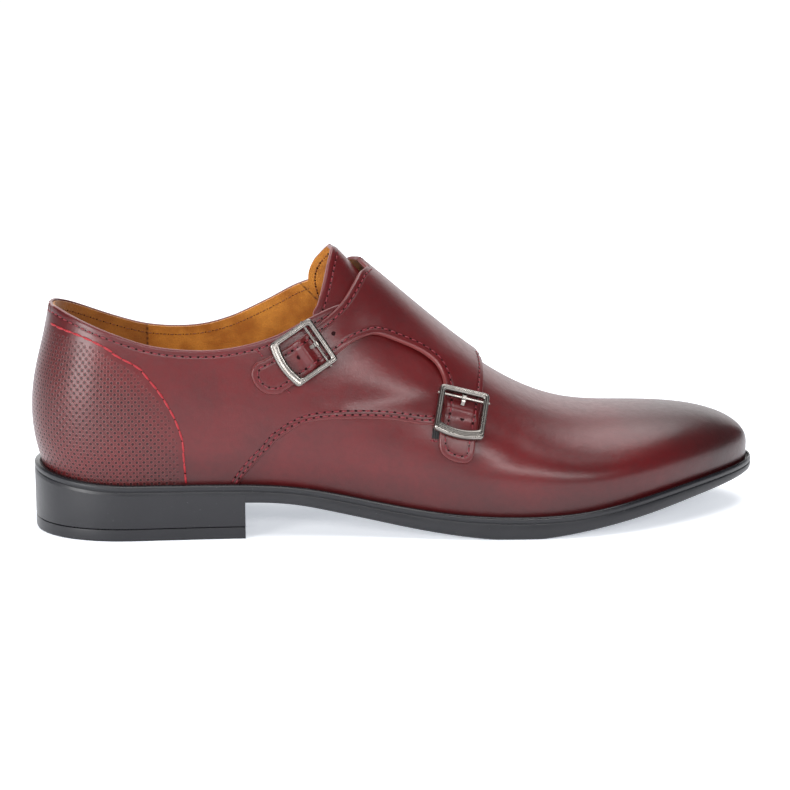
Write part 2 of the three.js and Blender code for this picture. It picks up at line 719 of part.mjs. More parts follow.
// Rectangle with round corners and a front edge that bows outwards.
function framePath(target, rear, front, halfAcross, corner) {
  const shoulder = front + frontBow * bowShoulder;
  target.moveTo(rear + corner, -halfAcross);
  target.lineTo(front - corner, -halfAcross);
  target.quadraticCurveTo(front, -halfAcross, shoulder, -halfAcross + corner);
  target.quadraticCurveTo(front + frontBow * bowPull, 0, shoulder, halfAcross - corner);
  target.quadraticCurveTo(front, halfAcross, front - corner, halfAcross);
  target.lineTo(rear + corner, halfAcross);
  target.quadraticCurveTo(rear, halfAcross, rear, halfAcross - corner);
  target.lineTo(rear, -halfAcross + corner);
  target.quadraticCurveTo(rear, -halfAcross, rear + corner, -halfAcross);
  return target;
}

const pinX = -frameLong / 2 + sideBar + pinSetback;
const pinLevel = frameThick / 2;

function pinCylinder(diameter, length, sides) {
  const cylinder = new THREE.CylinderGeometry(diameter / 2, diameter / 2, length, sides);
  cylinder.translate(pinX, 0, pinLevel);
  return cylinder;
}

// Frame: a ring between two paths, chamfered, bored for the pin.
function frameSolid() {
  const [rear, front, half] = [-frameLong / 2, frameLong / 2, frameAcross / 2];
  const grow = frameBevel;
  const outer = framePath(new THREE.Shape(), rear + grow, front - grow, half - grow, frameCorner);
  const inner = framePath(
    new THREE.Path(), rear + sideBar - grow, front - frontBar + grow, half - sideBar + grow, frameCorner / 2);
  outer.holes.push(inner);
  const ring = new THREE.ExtrudeGeometry(outer, {
    depth: frameThick - 2 * frameBevel,
    bevelThickness: frameBevel,
    bevelSize: frameBevel,
    bevelSegments: 1,
    curveSegments: cornerSteps,
  });
  ring.translate(0, 0, frameBevel);
  return manifoldOf(ring).subtract(manifoldOf(pinCylinder(pinBore, 2 * frameAcross, pinSides)));
}

// Prong: a sleeve round the pin with a short tongue that leans to the strap.
function prongSolid() {
  const radius = pinBore / 2 + prongWall;
  const sleeve = manifoldOf(pinCylinder(2 * radius, prongWidth, sleeveSides));
  const bore = manifoldOf(pinCylinder(pinBore, 2 * prongWidth, pinSides));
  const side = prongFinger.map((row) => {
    return new THREE.Vector2(pinX + row.along * prongReach, pinLevel + row.up * radius);
  });
  const finger = { depth: prongFingerWidth, bevelEnabled: false };
  const plate = new THREE.ExtrudeGeometry(new THREE.Shape(side), finger);
  plate.rotateX(Math.PI / 2);
  plate.translate(0, prongFingerWidth / 2, 0);
  return sleeve.add(manifoldOf(plate)).subtract(bore);
}

function placed(solid, matrix) {
  return solid.transform(matrix.elements);
}

function meshOf(name, solid, finish) {
  const data = solid.getMesh();
  const geometry = new THREE.BufferGeometry();
  geometry.setAttribute('position', new THREE.BufferAttribute(new Float32Array(data.vertProperties), 3));
  geometry.setIndex(new THREE.BufferAttribute(new Uint32Array(data.triVerts), 1));
  const mesh = new THREE.Mesh(geometry, new THREE.MeshStandardMaterial(finish));
  mesh.name = name;
  return mesh;
}

const shoe = new THREE.Group();
shoe.name = 'monk_strap_shoe';
shoe.add(meshOf('upper', upperSolid(), colours.leather));
shoe.add(meshOf('sole_unit', soleSolid(), colours.rubber));
shoe.add(meshOf('heel_top_lift', topLiftSolid(), colours.rubber));
shoe.add(meshOf('insole', insoleSolid(), colours.lining));
shoe.add(meshOf('tongue', tongueSolid(), colours.leather));
shoe.add(meshOf('strap_flap', flapSolid(), colours.leather));
shoe.add(meshOf('strap_keeper', keeperSolid(), colours.elastic));
for (const strap of straps) {
  const seat = strapSeat(strap);
  const pin = manifoldOf(pinCylinder(pinDiameter, frameAcross + 2 * pinOverhang, pinSides));
  shoe.add(meshOf(`${strap.name}_buckle_frame`, placed(frameSolid(), seat), colours.metal));
  shoe.add(meshOf(`${strap.name}_buckle_pin`, placed(pin, seat), colours.metal));
  shoe.add(meshOf(`${strap.name}_buckle_prong`, placed(prongSolid(), seat), colours.metal));
}

export default shoe;
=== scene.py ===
"""Right low shoe with a double-buckled instep flap: its looks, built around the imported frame.

Sizes are in millimetres in the classes and in metres in the meshes. X runs to the toe, Y to the
inner side and Z up, from the middle of the heel's ground face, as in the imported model.
"""

from __future__ import annotations

import json
import logging
import math
from dataclasses import dataclass, field
from enum import Enum
from typing import Callable, Sequence

import bmesh
import bpy
import numpy as np
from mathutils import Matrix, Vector
from mathutils.geometry import delaunay_2d_cdt

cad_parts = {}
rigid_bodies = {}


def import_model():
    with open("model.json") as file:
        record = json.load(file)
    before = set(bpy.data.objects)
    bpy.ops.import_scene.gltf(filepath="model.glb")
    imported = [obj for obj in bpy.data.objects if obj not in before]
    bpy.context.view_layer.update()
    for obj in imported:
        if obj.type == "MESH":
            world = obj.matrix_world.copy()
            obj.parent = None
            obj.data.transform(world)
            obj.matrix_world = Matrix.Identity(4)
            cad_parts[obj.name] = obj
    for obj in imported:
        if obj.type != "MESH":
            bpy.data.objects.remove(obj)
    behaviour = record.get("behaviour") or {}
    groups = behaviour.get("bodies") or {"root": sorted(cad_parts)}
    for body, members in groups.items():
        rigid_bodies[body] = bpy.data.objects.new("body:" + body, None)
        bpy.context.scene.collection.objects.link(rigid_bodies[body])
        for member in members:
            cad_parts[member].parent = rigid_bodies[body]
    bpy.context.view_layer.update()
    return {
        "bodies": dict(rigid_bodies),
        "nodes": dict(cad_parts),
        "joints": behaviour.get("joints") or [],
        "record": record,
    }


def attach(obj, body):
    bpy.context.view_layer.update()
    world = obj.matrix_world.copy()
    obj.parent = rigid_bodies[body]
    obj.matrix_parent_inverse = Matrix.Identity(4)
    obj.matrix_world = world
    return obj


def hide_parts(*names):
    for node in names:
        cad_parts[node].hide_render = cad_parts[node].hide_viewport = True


log = logging.getLogger("shoe")
MM = 0.001
Points = np.ndarray
Colour = tuple[float, float, float, float]
Span = tuple[float, float]
Place = tuple[float, float, float]
Piece = bpy.types.Object
Look = bpy.types.Material
HeightOf = Callable[[Points, Points], Points]
RIDGE_GAP = 0.004
FEATHER_GAP = 0.0005
BACK_GAP = 0.001
LINE_CHUNK = 1500
LOOP_CHUNK = 4000


class Side(Enum):
    """Sides of the shoe, by the sign of Y."""

    OUTER = -1
    INNER = 1

    @property
    def sign(self) -> float:
        """Sign of the side's Y, and of its v on the chart."""
        return float(self.value)


class Material(Enum):
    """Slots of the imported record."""

    UPPER = "upper"
    SOLE = "sole_unit"
    TOP_LIFT = "heel_top_lift"
    INSOLE = "insole"
    TONGUE = "tongue"
    FLAP = "strap_flap"


def srgb(red: float, green: float, blue: float) -> Colour:
    """Linear colour of an eight-bit screen colour, by the usual screen curve.

    Args:
        red: Red from 0 to 255.
        green: Green from 0 to 255.
        blue: Blue from 0 to 255.

    Returns:
        Linear red, green and blue, and an alpha of 1.
    """
    share = np.array([red, green, blue]) / 255.0
    linear = np.where(share <= 0.04045, share / 12.92, ((share + 0.055) / 1.055) ** 2.4)
    return (float(linear[0]), float(linear[1]), float(linear[2]), 1.0)


def smoothstep(low: float, high: float, value: Points) -> Points:
    """Cubic step 3t^2 - 2t^3 from 0 at low to 1 at high."""
    t = np.clip((value - low) / (high - low), 0.0, 1.0)
    return t * t * (3.0 - 2.0 * t)


def unit(vectors: Points) -> Points:
    """Each row divided by its length."""
    return vectors / np.maximum(np.linalg.norm(vectors, axis=-1, keepdims=True), 1e-12)


# Shares of the named sizes. Plan columns are at, middle, half, tuck_out, tuck_in and edge.
# Profile columns are at, feather, rise, ridge_y, ridge_z, full_side and full_top.
PLAN = (
    (0.00, 0.005, 0.345, 0.024, 0.024, 1.00),
    (0.12, -0.003, 0.347, 0.026, 0.043, 1.00),
    (0.24, -0.025, 0.347, 0.026, 0.069, 0.95),
    (0.36, -0.048, 0.365, 0.021, 0.091, 0.90),
    (0.48, -0.056, 0.423, 0.015, 0.075, 0.86),
    (0.60, -0.038, 0.485, 0.011, 0.032, 0.81),
    (0.70, -0.011, 0.500, 0.011, 0.011, 0.81),
    (0.80, 0.021, 0.466, 0.011, 0.011, 0.71),
    (0.90, 0.053, 0.385, 0.011, 0.011, 0.62),
    (1.00, 0.075, 0.288, 0.011, 0.011, 0.52),
)
PROFILE = (
    (0.00, 1.000, 0.164, 0.005, 1.295, 0.50, 0.50),
    (0.12, 0.981, 0.164, 0.011, 1.285, 0.50, 0.50),
    (0.24, 0.907, 0.164, 0.021, 1.208, 0.50, 0.50),
    (0.36, 0.648, 0.164, 0.037, 1.000, 0.50, 0.50),
    (0.48, 0.431, 0.155, 0.048, 0.744, 0.50, 0.52),
    (0.60, 0.370, 0.135, 0.059, 0.531, 0.52, 0.52),
    (0.70, 0.431, 0.116, 0.064, 0.435, 0.54, 0.55),
    (0.80, 0.611, 0.097, 0.064, 0.417, 0.56, 0.58),
    (0.90, 0.750, 0.082, 0.069, 0.420, 0.58, 0.60),
    (1.00, 0.824, 0.068, 0.075, 0.415, 0.60, 0.62),
)
BACK_CURVE = ((0.0, -0.008), (0.2, 0.068), (0.4, 0.083), (0.6, 0.038), (0.8, -0.045), (1.0, -0.116))
UNDERSIDE = (
    (-0.232, 0.685), (0.116, 0.685), (0.174, 0.681), (0.236, 0.630), (0.297, 0.491), (0.355, 0.343),
    (0.413, 0.204), (0.471, 0.093), (0.525, 0.019), (0.564, -0.014), (0.610, -0.009),
    (0.649, 0.037), (0.718, 0.153), (0.799, 0.306), (0.876, 0.454), (0.946, 0.556), (1.012, 0.639),
)
# Side-view outlines. Each row is a share of the length, or of the heel's length behind the axis,
# and a share of the instep height.
TOPLINE = {
    Side.OUTER: (
        (-1.263, 0.928), (-0.909, 0.900), (-0.783, 0.893), (-0.293, 0.821), (0.022, 0.767), (0.093, 0.748),
        (0.151, 0.759), (0.210, 0.798), (0.263, 0.860), (0.309, 0.902), (0.355, 0.908), (0.402, 0.870),
        (0.448, 0.812),
    ),
    Side.INNER: (
        (-1.263, 0.928), (-0.909, 0.900), (-0.783, 0.883), (-0.293, 0.798), (0.022, 0.748), (0.093, 0.740),
        (0.151, 0.773), (0.210, 0.844), (0.263, 0.918), (0.309, 0.951), (0.355, 0.937), (0.402, 0.884),
        (0.448, 0.812),
    ),
}
QUARTER_EDGE = (
    (0.147, 0.155), (0.151, 0.217), (0.181, 0.315), (0.208, 0.390), (0.245, 0.453), (0.270, 0.469),
    (0.295, 0.474), (0.344, 0.476), (0.393, 0.470), (0.443, 0.451), (0.479, 0.464), (0.506, 0.512),
    (0.529, 0.580), (0.548, 0.725),
)
FLAP_REAR = (
    (0.386, 1.179), (0.373, 1.063), (0.369, 1.026), (0.361, 1.020), (0.351, 1.012), (0.341, 0.985),
    (0.312, 0.906),
)
FLAP_ARCH = (
    (0.306, 0.729), (0.329, 0.767), (0.355, 0.790), (0.373, 0.790), (0.398, 0.767), (0.436, 0.723),
    (0.461, 0.676), (0.473, 0.623),
)
FLAP_FRONT = (
    (0.527, 0.493), (0.537, 0.563), (0.547, 0.624), (0.551, 0.667), (0.554, 0.734), (0.556, 0.870),
)
FLAP_INNER = (
    (0.386, 1.179), (0.369, 1.063), (0.355, 1.047), (0.340, 1.034), (0.331, 0.995), (0.328, 0.937),
    (0.334, 0.879), (0.375, 0.773), (0.432, 0.643), (0.479, 0.541), (0.514, 0.478), (0.533, 0.483),
    (0.543, 0.541), (0.548, 0.609), (0.551, 0.676), (0.554, 0.734), (0.556, 0.870),
)
TONGUE = {
    Side.OUTER: (
        (0.340, 1.217), (0.318, 1.140), (0.307, 1.096), (0.302, 1.057), (0.296, 1.014), (0.281, 0.913),
        (0.272, 0.865), (0.282, 0.773), (0.355, 0.676), (0.432, 0.599), (0.486, 0.580), (0.502, 0.638),
        (0.506, 0.773),
    ),
    Side.INNER: (
        (0.340, 1.217), (0.318, 1.140), (0.307, 1.096), (0.296, 1.065), (0.285, 1.024), (0.278, 0.961),
        (0.283, 0.879), (0.301, 0.792), (0.363, 0.676), (0.432, 0.599), (0.486, 0.580), (0.502, 0.638),
        (0.506, 0.773),
    ),
}
COUNTER_SEAM = (
    (-0.879, 0.833), (-0.823, 0.828), (-0.558, 0.801), (-0.328, 0.761), (-0.235, 0.735),
    (-0.023, 0.689), (0.011, 0.649), (0.032, 0.579), (0.042, 0.535), (0.053, 0.480), (0.063, 0.401),
    (0.065, 0.329), (0.068, 0.218),
)


@dataclass(frozen=True)
class ShoeSizes:
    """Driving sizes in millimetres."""

    back: float = 39.6
    tip: float = 259.0
    ball_width: float = 93.6
    instep_height: float = 103.5
    heel_height: float = 21.6
    sole_edge: float = 4.2
    strap_width: float = 14.0

    def side_view(self, rows: Sequence[Sequence[float]]) -> Points:
        """Side-view x and z of an outline's rows."""
        shares = np.asarray(rows, float)
        x = shares[:, 0] * np.where(shares[:, 0] < 0, self.back, self.tip)
        return np.stack([x, shares[:, 1] * self.instep_height], axis=1)


SIZES = ShoeSizes()


@dataclass(frozen=True)
class Strap:
    """One strap: its buckle's middle, its way in the side view, its tip and its holes."""

    name: str
    at: float
    up: float
    heading: float
    tip: tuple[Span, ...]
    holes: tuple[Span, ...]

    def ahead(self) -> Points:
        """Way of the strap in the side view."""
        return np.array([math.cos(math.radians(self.heading)), math.sin(math.radians(self.heading))])

    def on_strap(self, rows: Sequence[Sequence[float]]) -> Points:
        """Side-view points of rows along and across the strap, shares of its width."""
        ahead = self.ahead()
        across = np.array([ahead[1], -ahead[0]])
        shares = np.asarray(rows, float) * SIZES.strap_width
        middle = SIZES.side_view([(self.at, self.up)])
        return middle + shares[:, :1] * ahead + shares[:, 1:] * across


UPPER_STRAP = Strap(
    "upper", 0.252, 0.726, 213.9,
    (
        (-0.94, 0.44), (0.15, 0.45), (0.95, 0.54), (1.24, 0.59), (1.51, 0.43), (1.60, 0.07),
        (1.47, -0.30), (1.15, -0.51),
    ),
    ((0.13, 0.03), (-1.06, -0.03)),
)
LOWER_STRAP = Strap(
    "lower", 0.493, 0.477, 255.5,
    (
        (-0.50, 0.51), (0.08, 0.49), (0.67, 0.48), (1.03, 0.34), (1.18, 0.02), (1.15, -0.41),
        (0.90, -0.57), (0.48, -0.55),
    ),
    ((0.00, -0.06),),
)


class Spline:
    """Smooth curve through table rows with straight natural ends."""

    def __init__(self, xs: Sequence[float], ys: Sequence[float]) -> None:
        """Solves the second derivatives, which are 0 at both ends.

        Args:
            xs: Rising positions.
            ys: Values there.
        """
        self.x = np.asarray(xs, float)
        self.y = np.asarray(ys, float)
        step = np.diff(self.x)
        slope = np.diff(self.y) / step
        count = len(self.x)
        matrix = np.eye(count)
        inner = np.arange(1, count - 1)
        matrix[inner, inner - 1] = step[:-1] / 6
        matrix[inner, inner] = (step[:-1] + step[1:]) / 3
        matrix[inner, inner + 1] = step[1:] / 6
        turn = np.zeros(count)
        turn[inner] = np.diff(slope)
        self.bend = np.linalg.solve(matrix, turn)

    def __call__(self, at: Points) -> Points:
        """Value of the cubic of the interval that holds each position."""
        at = np.asarray(at, float)
        k = np.clip(np.searchsorted(self.x, at) - 1, 0, len(self.x) - 2)
        step = self.x[k + 1] - self.x[k]
        a = (self.x[k + 1] - at) / step
        b = (at - self.x[k]) / step
        cubic = (a**3 - a) * self.bend[k] + (b**3 - b) * self.bend[k + 1]
        return a * self.y[k] + b * self.y[k + 1] + cubic * step * step / 6


def bezier(a: Points, b: Points, c: Points, d: Points, t: Points) -> Points:
    """Cubic Bezier value a s^3 + 3 b s^2 t + 3 c s t^2 + d t^3, with s = 1 - t."""
    s = 1 - t
    return a * s**3 + 3 * b * t * s * s + 3 * c * t * t * s + d * t**3


def curve_through(points: Sequence[Sequence[float]], step: float) -> Points:
    """Uniform Catmull-Rom curve through side-view points, sampled at even steps of length.

    Args:
        points: Side-view points, x and z.
        step: Distance between samples.

    Returns:
        Array of x and z.
    """
    p = np.asarray(points, float)
    count = len(p) - 1
    place = np.linspace(0, count, count * 40 + 1)
    k = np.minimum(place.astype(int), count - 1)
    t = (place - k)[:, None]
    p0, p1 = p[np.maximum(k - 1, 0)], p[k]
    p2, p3 = p[k + 1], p[np.minimum(k + 2, count)]
    v0, v1 = (p2 - p0) / 2, (p3 - p1) / 2
    fine = (2 * p1 - 2 * p2 + v0 + v1) * t**3 + (-3 * p1 + 3 * p2 - 2 * v0 - v1) * t**2 + v0 * t + p1
    return even_steps(fine, step)


def even_steps(line: Points, step: float) -> Points:
    """Line resampled by length, so that neighbours stand about one step apart, ends kept."""
    length = np.r_[0, np.cumsum(np.linalg.norm(np.diff(line, axis=0), axis=1))]
    keep = np.r_[True, np.diff(length) > 1e-9]
    line, length = line[keep], length[keep]
    count = max(int(round(length[-1] / step)), 1)
    wanted = np.linspace(0, length[-1], count + 1)
    return np.stack([np.interp(wanted, length, line[:, k]) for k in range(line.shape[1])], axis=1)


@dataclass
class Last:
    """The form that the leather is lasted on, as a surface over a flat chart.

    The chart's u is the share of the length from the heel axis to the tip, and below 0 the turn
    round the heel. Its v is -1 at the outer feather line, 0 on the ridge and 1 at the inner one.
    """

    tip: float = SIZES.tip
    back: float = SIZES.back
    back_height: float = 70.0
    back_rise: float = 4.5
    back_lean: float = 0.12
    roundness: float = 2.25
    low_share: float = 0.25
    foot_pull: float = 0.35
    foot_fullness: float = 0.6
    width_closing: float = 11.0
    ridge_closing: float = 13.0
    turn_length: float = 62.0
    girth_length: float = 88.0
    sloped: Span = (-0.9995, 0.9985)
    lift_rounds: int = 4
    turn_rounds: int = 5
    halvings: int = 22
    column: dict[str, Spline] = field(default_factory=dict)

    def __post_init__(self) -> None:
        """Makes one spline for each column of the tables."""
        ball, instep = SIZES.ball_width, SIZES.instep_height
        plan = {"middle": ball, "half": ball, "tuck_out": ball, "tuck_in": ball, "edge": SIZES.sole_edge}
        profile = {
            "feather": SIZES.heel_height, "rise": instep, "ridge_y": ball, "ridge_z": instep,
            "full_side": 1.0, "full_top": 1.0,
        }
        for table, sizes in ((PLAN, plan), (PROFILE, profile)):
            rows = np.array(table)
            for k, (name, size) in enumerate(sizes.items(), start=1):
                self.column[name] = Spline(rows[:, 0], rows[:, k] * size)
        back = np.array(BACK_CURVE)
        self.back_out = Spline(back[:, 0], back[:, 1] * self.back)
        under = np.array(UNDERSIDE)
        self.underside = Spline(under[:, 0] * self.tip, under[:, 1] * SIZES.heel_height)

    def values_at(self, share: Points) -> dict[str, Points]:
        """Every column's value at each share of the length."""
        return {name: spline(share) for name, spline in self.column.items()}

    def section(
        self, share: Points, row: Points, side: Points, known: dict[str, Points] | None = None
    ) -> Points:
        """Half section: two Bezier arcs, feather to widest point and widest point to ridge.

        Args:
            share: Share of the length, 0 to 1.
            row: Place on the half section, 0 at the feather line and 1 on the ridge.
            side: -1 for the outer and 1 for the inner side.
            known: Column values at the shares, where they are at hand.

        Returns:
            Points, one row each.
        """
        c = known or self.values_at(share)
        wide = np.sqrt(np.maximum(0, 1 - share**self.width_closing))
        girth_y = c["middle"] + side * c["half"] * wide
        tuck = np.where(side < 0, c["tuck_out"], c["tuck_in"]) * wide
        feather_y = girth_y - side * tuck
        rise = c["rise"]
        feather_z = c["feather"]
        girth_z = feather_z + rise
        high = np.sqrt(np.maximum(0, 1 - share**self.ridge_closing))
        crown = (c["ridge_z"] - girth_z) * high
        ridge_y = c["ridge_y"]
        t = np.clip(row / self.low_share, 0, 1)
        low_y = bezier(feather_y, feather_y, girth_y, girth_y, t)
        low_z = bezier(
            feather_z, feather_z + self.foot_pull * rise, feather_z + self.foot_fullness * rise, girth_z, t
        )
        t = np.clip((row - self.low_share) / (1 - self.low_share), 0, 1)
        shoulder = ridge_y + c["full_top"] * (girth_y - ridge_y)
        top = girth_z + crown
        high_y = bezier(girth_y, girth_y, shoulder, ridge_y, t)
        high_z = bezier(girth_z, girth_z + c["full_side"] * crown, top, top, t)
        low = row < self.low_share
        y, z = np.where(low, low_y, high_y), np.where(low, low_z, high_z)
        return np.stack([share * self.tip, y, z], axis=-1)

    def heel(
        self, turn: Points, row: Points, side: Points, known: dict[str, Points] | None = None
    ) -> Points:
        """Round heel: the section at the heel axis carried round on a superellipse.

        Args:
            turn: Angle round the heel, from 0 at the axis to a right angle at the back.
            row: Place on the half section.
            side: -1 for the outer and 1 for the inner side.
            known: Column values at the heel axis, where they are at hand.

        Returns:
            Points, one row each.
        """
        start = self.section(np.zeros_like(turn), row, side, known)
        level = (start[..., 2] - SIZES.heel_height) / self.back_height
        over = np.maximum(level - 1, 0) * self.back_height * self.back_lean
        reach = self.back + self.back_out(np.clip(level, 0, 1)) - over
        sine = np.maximum(np.sin(turn), 0) ** (2 / self.roundness)
        cosine = np.maximum(np.cos(turn), 0) ** (2 / self.roundness)
        middle = PLAN[0][1] * SIZES.ball_width
        rise = self.back_rise * np.sin(turn) ** 2 * (1 - np.minimum(level, 1))
        y = middle + (start[..., 1] - middle) * cosine
        return np.stack([-reach * sine, y, start[..., 2] + rise], axis=-1)

    def point(self, u: Points, v: Points) -> Points:
        """Point of the surface over each place of the chart."""
        u, v = np.broadcast_arrays(np.clip(u, -1, 1), np.clip(v, -1, 1))
        side = np.where(v <= 0, -1.0, 1.0)
        row = 1 - np.abs(v)
        front = self.section(np.maximum(u, 0), row, side)
        back = self.heel(-np.minimum(u, 0) * math.pi / 2, row, side)
        return np.where((u < 0)[..., None], back, front)

    def slopes(self, u: Points, v: Points) -> tuple[Points, Points]:
        """Central differences of the surface along u and along v."""
        u, v = np.broadcast_arrays(np.asarray(u, float), np.asarray(v, float))
        inside = np.clip(u, *self.sloped)
        du, dv = 4e-4, 1e-3
        along = (self.point(inside + du, v) - self.point(inside - du, v)) / (2 * du)
        high, low = np.minimum(v + dv, 1), np.maximum(v - dv, -1)
        across = (self.point(inside, high) - self.point(inside, low)) / (high - low)[..., None]
        return along, across

    def normal(self, u: Points, v: Points) -> Points:
        """Outward unit direction, the cross product of the two slopes."""
        along, across = self.slopes(u, v)
        return unit(np.cross(along, across))

    def locate(self, xz: Points, side: Side, height: float = 0.0) -> Points:
        """Chart places whose lifted points have the wanted side-view x and z.

        The row is bisected for its height, the turn follows from x, and both are repeated with
        the lift taken off.

        Args:
            xz: Side-view points.
            side: Which side of the shoe.
            height: How far above the last the line lies.

        Returns:
            Array of u and v.
        """
        sign = side.sign
        goal = np.asarray(xz, float)
        aim = goal.copy()
        u = np.zeros(len(goal))
        v = np.zeros(len(goal))
        sides = np.full(len(goal), sign)
        axis = self.values_at(np.zeros(len(goal)))
        for _ in range(self.lift_rounds):
            share = np.clip(aim[:, 0] / self.tip, 0, 1)
            known = self.values_at(share)
            turn = np.zeros(len(goal))
            behind = aim[:, 0] < 0
            for _ in range(self.turn_rounds if behind.any() else 1):
                low, high = np.zeros(len(goal)), np.ones(len(goal))
                for _ in range(self.halvings):
                    row = (low + high) / 2
                    level = self.section(share, row, sides, known)[:, 2]
                    if behind.any():
                        level = np.where(behind, self.heel(turn, row, sides, axis)[:, 2], level)
                    over = level > aim[:, 1]
                    high, low = np.where(over, row, high), np.where(over, low, row)
                reach = -self.heel(np.full(len(goal), math.pi / 2), row, sides, axis)[:, 0]
                ratio = np.clip(-aim[:, 0] / reach, 0, 1) ** (self.roundness / 2)
                turn = np.where(behind, np.arcsin(np.clip(ratio, 0, 1)), 0)
            u = np.where(behind, -turn / (math.pi / 2), share)
            v = sign * (1 - row)
            if height == 0.0:
                break
            out = self.normal(u, v) * height
            aim = goal - out[:, [0, 2]]
        return np.stack([u, v], axis=1)

    def flat(self, uv: Points) -> Points:
        """Chart place in millimetres: u and v stretched to about their length on the shoe."""
        a = np.where(uv[:, 0] < 0, uv[:, 0] * self.turn_length, uv[:, 0] * self.tip)
        return np.stack([a, uv[:, 1] * self.girth_length], axis=1)

    def unflat(self, ab: Points) -> Points:
        """The chart place of a flat place."""
        u = np.where(ab[:, 0] < 0, ab[:, 0] / self.turn_length, ab[:, 0] / self.tip)
        return np.stack([u, ab[:, 1] / self.girth_length], axis=1)

    def inset(self, uv: Points, distance: float, closed: bool) -> Points:
        """Line moved to its left on the surface by a distance.

        The left direction is the normal crossed with the line's own direction, and the slopes'
        least-squares inverse turns it into a step on the chart.

        Args:
            uv: Line on the chart.
            distance: How far it moves.
            closed: Whether the line is a loop.

        Returns:
            The moved line on the chart.
        """
        p = self.point(uv[:, 0], uv[:, 1])
        if closed:
            along = np.roll(p, -1, axis=0) - np.roll(p, 1, axis=0)
        else:
            along = np.gradient(p, axis=0)
        left = unit(np.cross(self.normal(uv[:, 0], uv[:, 1]), unit(along))) * distance
        du, dv = self.slopes(uv[:, 0], uv[:, 1])
        a, b, c = (du * du).sum(1), (du * dv).sum(1), (dv * dv).sum(1)
        e, f = (du * left).sum(1), (dv * left).sum(1)
        det = np.maximum(a * c - b * b, 1e-6)
        step = np.stack([(c * e - b * f) / det, (a * f - b * e) / det], axis=1)
        return np.clip(uv + step, -1, 1)


# Meshes


def make_object(
    name: str,
    points: Points,
    faces: Sequence[Points],
    materials: Sequence[Look],
    slots: Sequence[int] | None = None,
    values: dict[str, Points] | None = None,
    crease_deg: float = 40.0,
) -> Piece:
    """Object from arrays of points in millimetres and of faces.

    Args:
        name: Name of the object.
        points: Points, one row each.
        faces: Arrays of faces, each array with one number of corners.
        materials: Materials of the object.
        slots: Material number for each array of faces, all 0 if left out.
        values: Numbers kept at each point, by name.
        crease_deg: Edges that turn by more than this are drawn sharp.

    Returns:
        The new object, at the origin.
    """
    mesh = bpy.data.meshes.new(name)
    faces = [np.asarray(f, np.int32) for f in faces]
    corners = np.concatenate([f.ravel() for f in faces])
    sizes = np.concatenate([np.full(len(f), f.shape[1], np.int32) for f in faces])
    mesh.vertices.add(len(points))
    mesh.vertices.foreach_set("co", (np.asarray(points) * MM).astype(np.float32).ravel())
    mesh.loops.add(len(corners))
    mesh.loops.foreach_set("vertex_index", corners)
    mesh.polygons.add(len(sizes))
    mesh.polygons.foreach_set("loop_start", np.r_[0, np.cumsum(sizes)[:-1]].astype(np.int32))
    index = np.concatenate([np.full(len(f), (slots or [0] * len(faces))[k]) for k, f in enumerate(faces)])
    mesh.polygons.foreach_set("material_index", index.astype(np.int32))
    mesh.update(calc_edges=True)
    for key, numbers in (values or {}).items():
        mesh.attributes.new(key, "FLOAT", "POINT").data.foreach_set("value", numbers.astype(np.float32))
    for material in materials:
        mesh.materials.append(material)
    mesh.validate()
    mesh.polygons.foreach_set("use_smooth", np.ones(len(mesh.polygons), bool))
    mesh.set_sharp_from_angle(angle=math.radians(crease_deg))
    made = bpy.data.objects.new(name, mesh)
    bpy.context.scene.collection.objects.link(made)
    return made


def weld(piece: Piece, distance: float = 1e-3) -> Piece:
    """Merges points of a piece that lie within a distance in millimetres.

    Args:
        piece: The object to weld.
        distance: Greatest distance between merged points.

    Returns:
        The same object.
    """
    work = bmesh.new()
    work.from_mesh(piece.data)
    bmesh.ops.remove_doubles(work, verts=work.verts, dist=distance * MM)
    bmesh.ops.dissolve_degenerate(work, edges=work.edges, dist=distance * MM * 0.1)
    work.to_mesh(piece.data)
    work.free()
    piece.data.update()
    return piece


def grid_faces(rows: int, columns: int, loop_rows: bool = False, loop_columns: bool = False) -> Points:
    """Quads of a grid whose point i, j is number i * columns + j.

    Args:
        rows: Number of rows.
        columns: Number of points in a row.
        loop_rows: Whether the last row joins the first.
        loop_columns: Whether each row is a loop.

    Returns:
        Array of four corners a face, turning from the row direction to the column direction.
    """
    i = np.arange(rows if loop_rows else rows - 1)
    j = np.arange(columns if loop_columns else columns - 1)
    i, j = np.meshgrid(i, j, indexing="ij")
    i2, j2 = (i + 1) % rows, (j + 1) % columns
    quads = [i * columns + j, i2 * columns + j, i2 * columns + j2, i * columns + j2]
    return np.stack(quads, axis=-1).reshape(-1, 4)


def rim_faces(line: Points, shift: int, flip: bool) -> Points:
    """Quads between a line of points and the same line in a second skin.

    Args:
        line: Numbers of the line's points.
        shift: Number of points in the first skin.
        flip: Whether the quads face the other way.

    Returns:
        Array of four corners a face.
    """
    rim = np.stack([line[:-1], line[:-1] + shift, line[1:] + shift, line[1:]], axis=1)
    return rim[:, ::-1] if flip else rim


def repeated(template: Points, faces: Points, frames: Points, origins: Points) -> tuple[Points, Points]:
    """Copies of a small shape, each turned by its own frame and moved to its own origin.

    Args:
        template: Points of the shape.
        faces: Its faces.
        frames: One 3 by 3 array a copy, whose rows are the copy's axes.
        origins: One point a copy.

    Returns:
        Points and faces of all copies.
    """
    placed = np.einsum("pk,nkc->npc", template, frames) + origins[:, None, :]
    shift = np.arange(len(origins))[:, None, None] * len(template)
    return placed.reshape(-1, 3), (faces[None] + shift).reshape(-1, faces.shape[1])


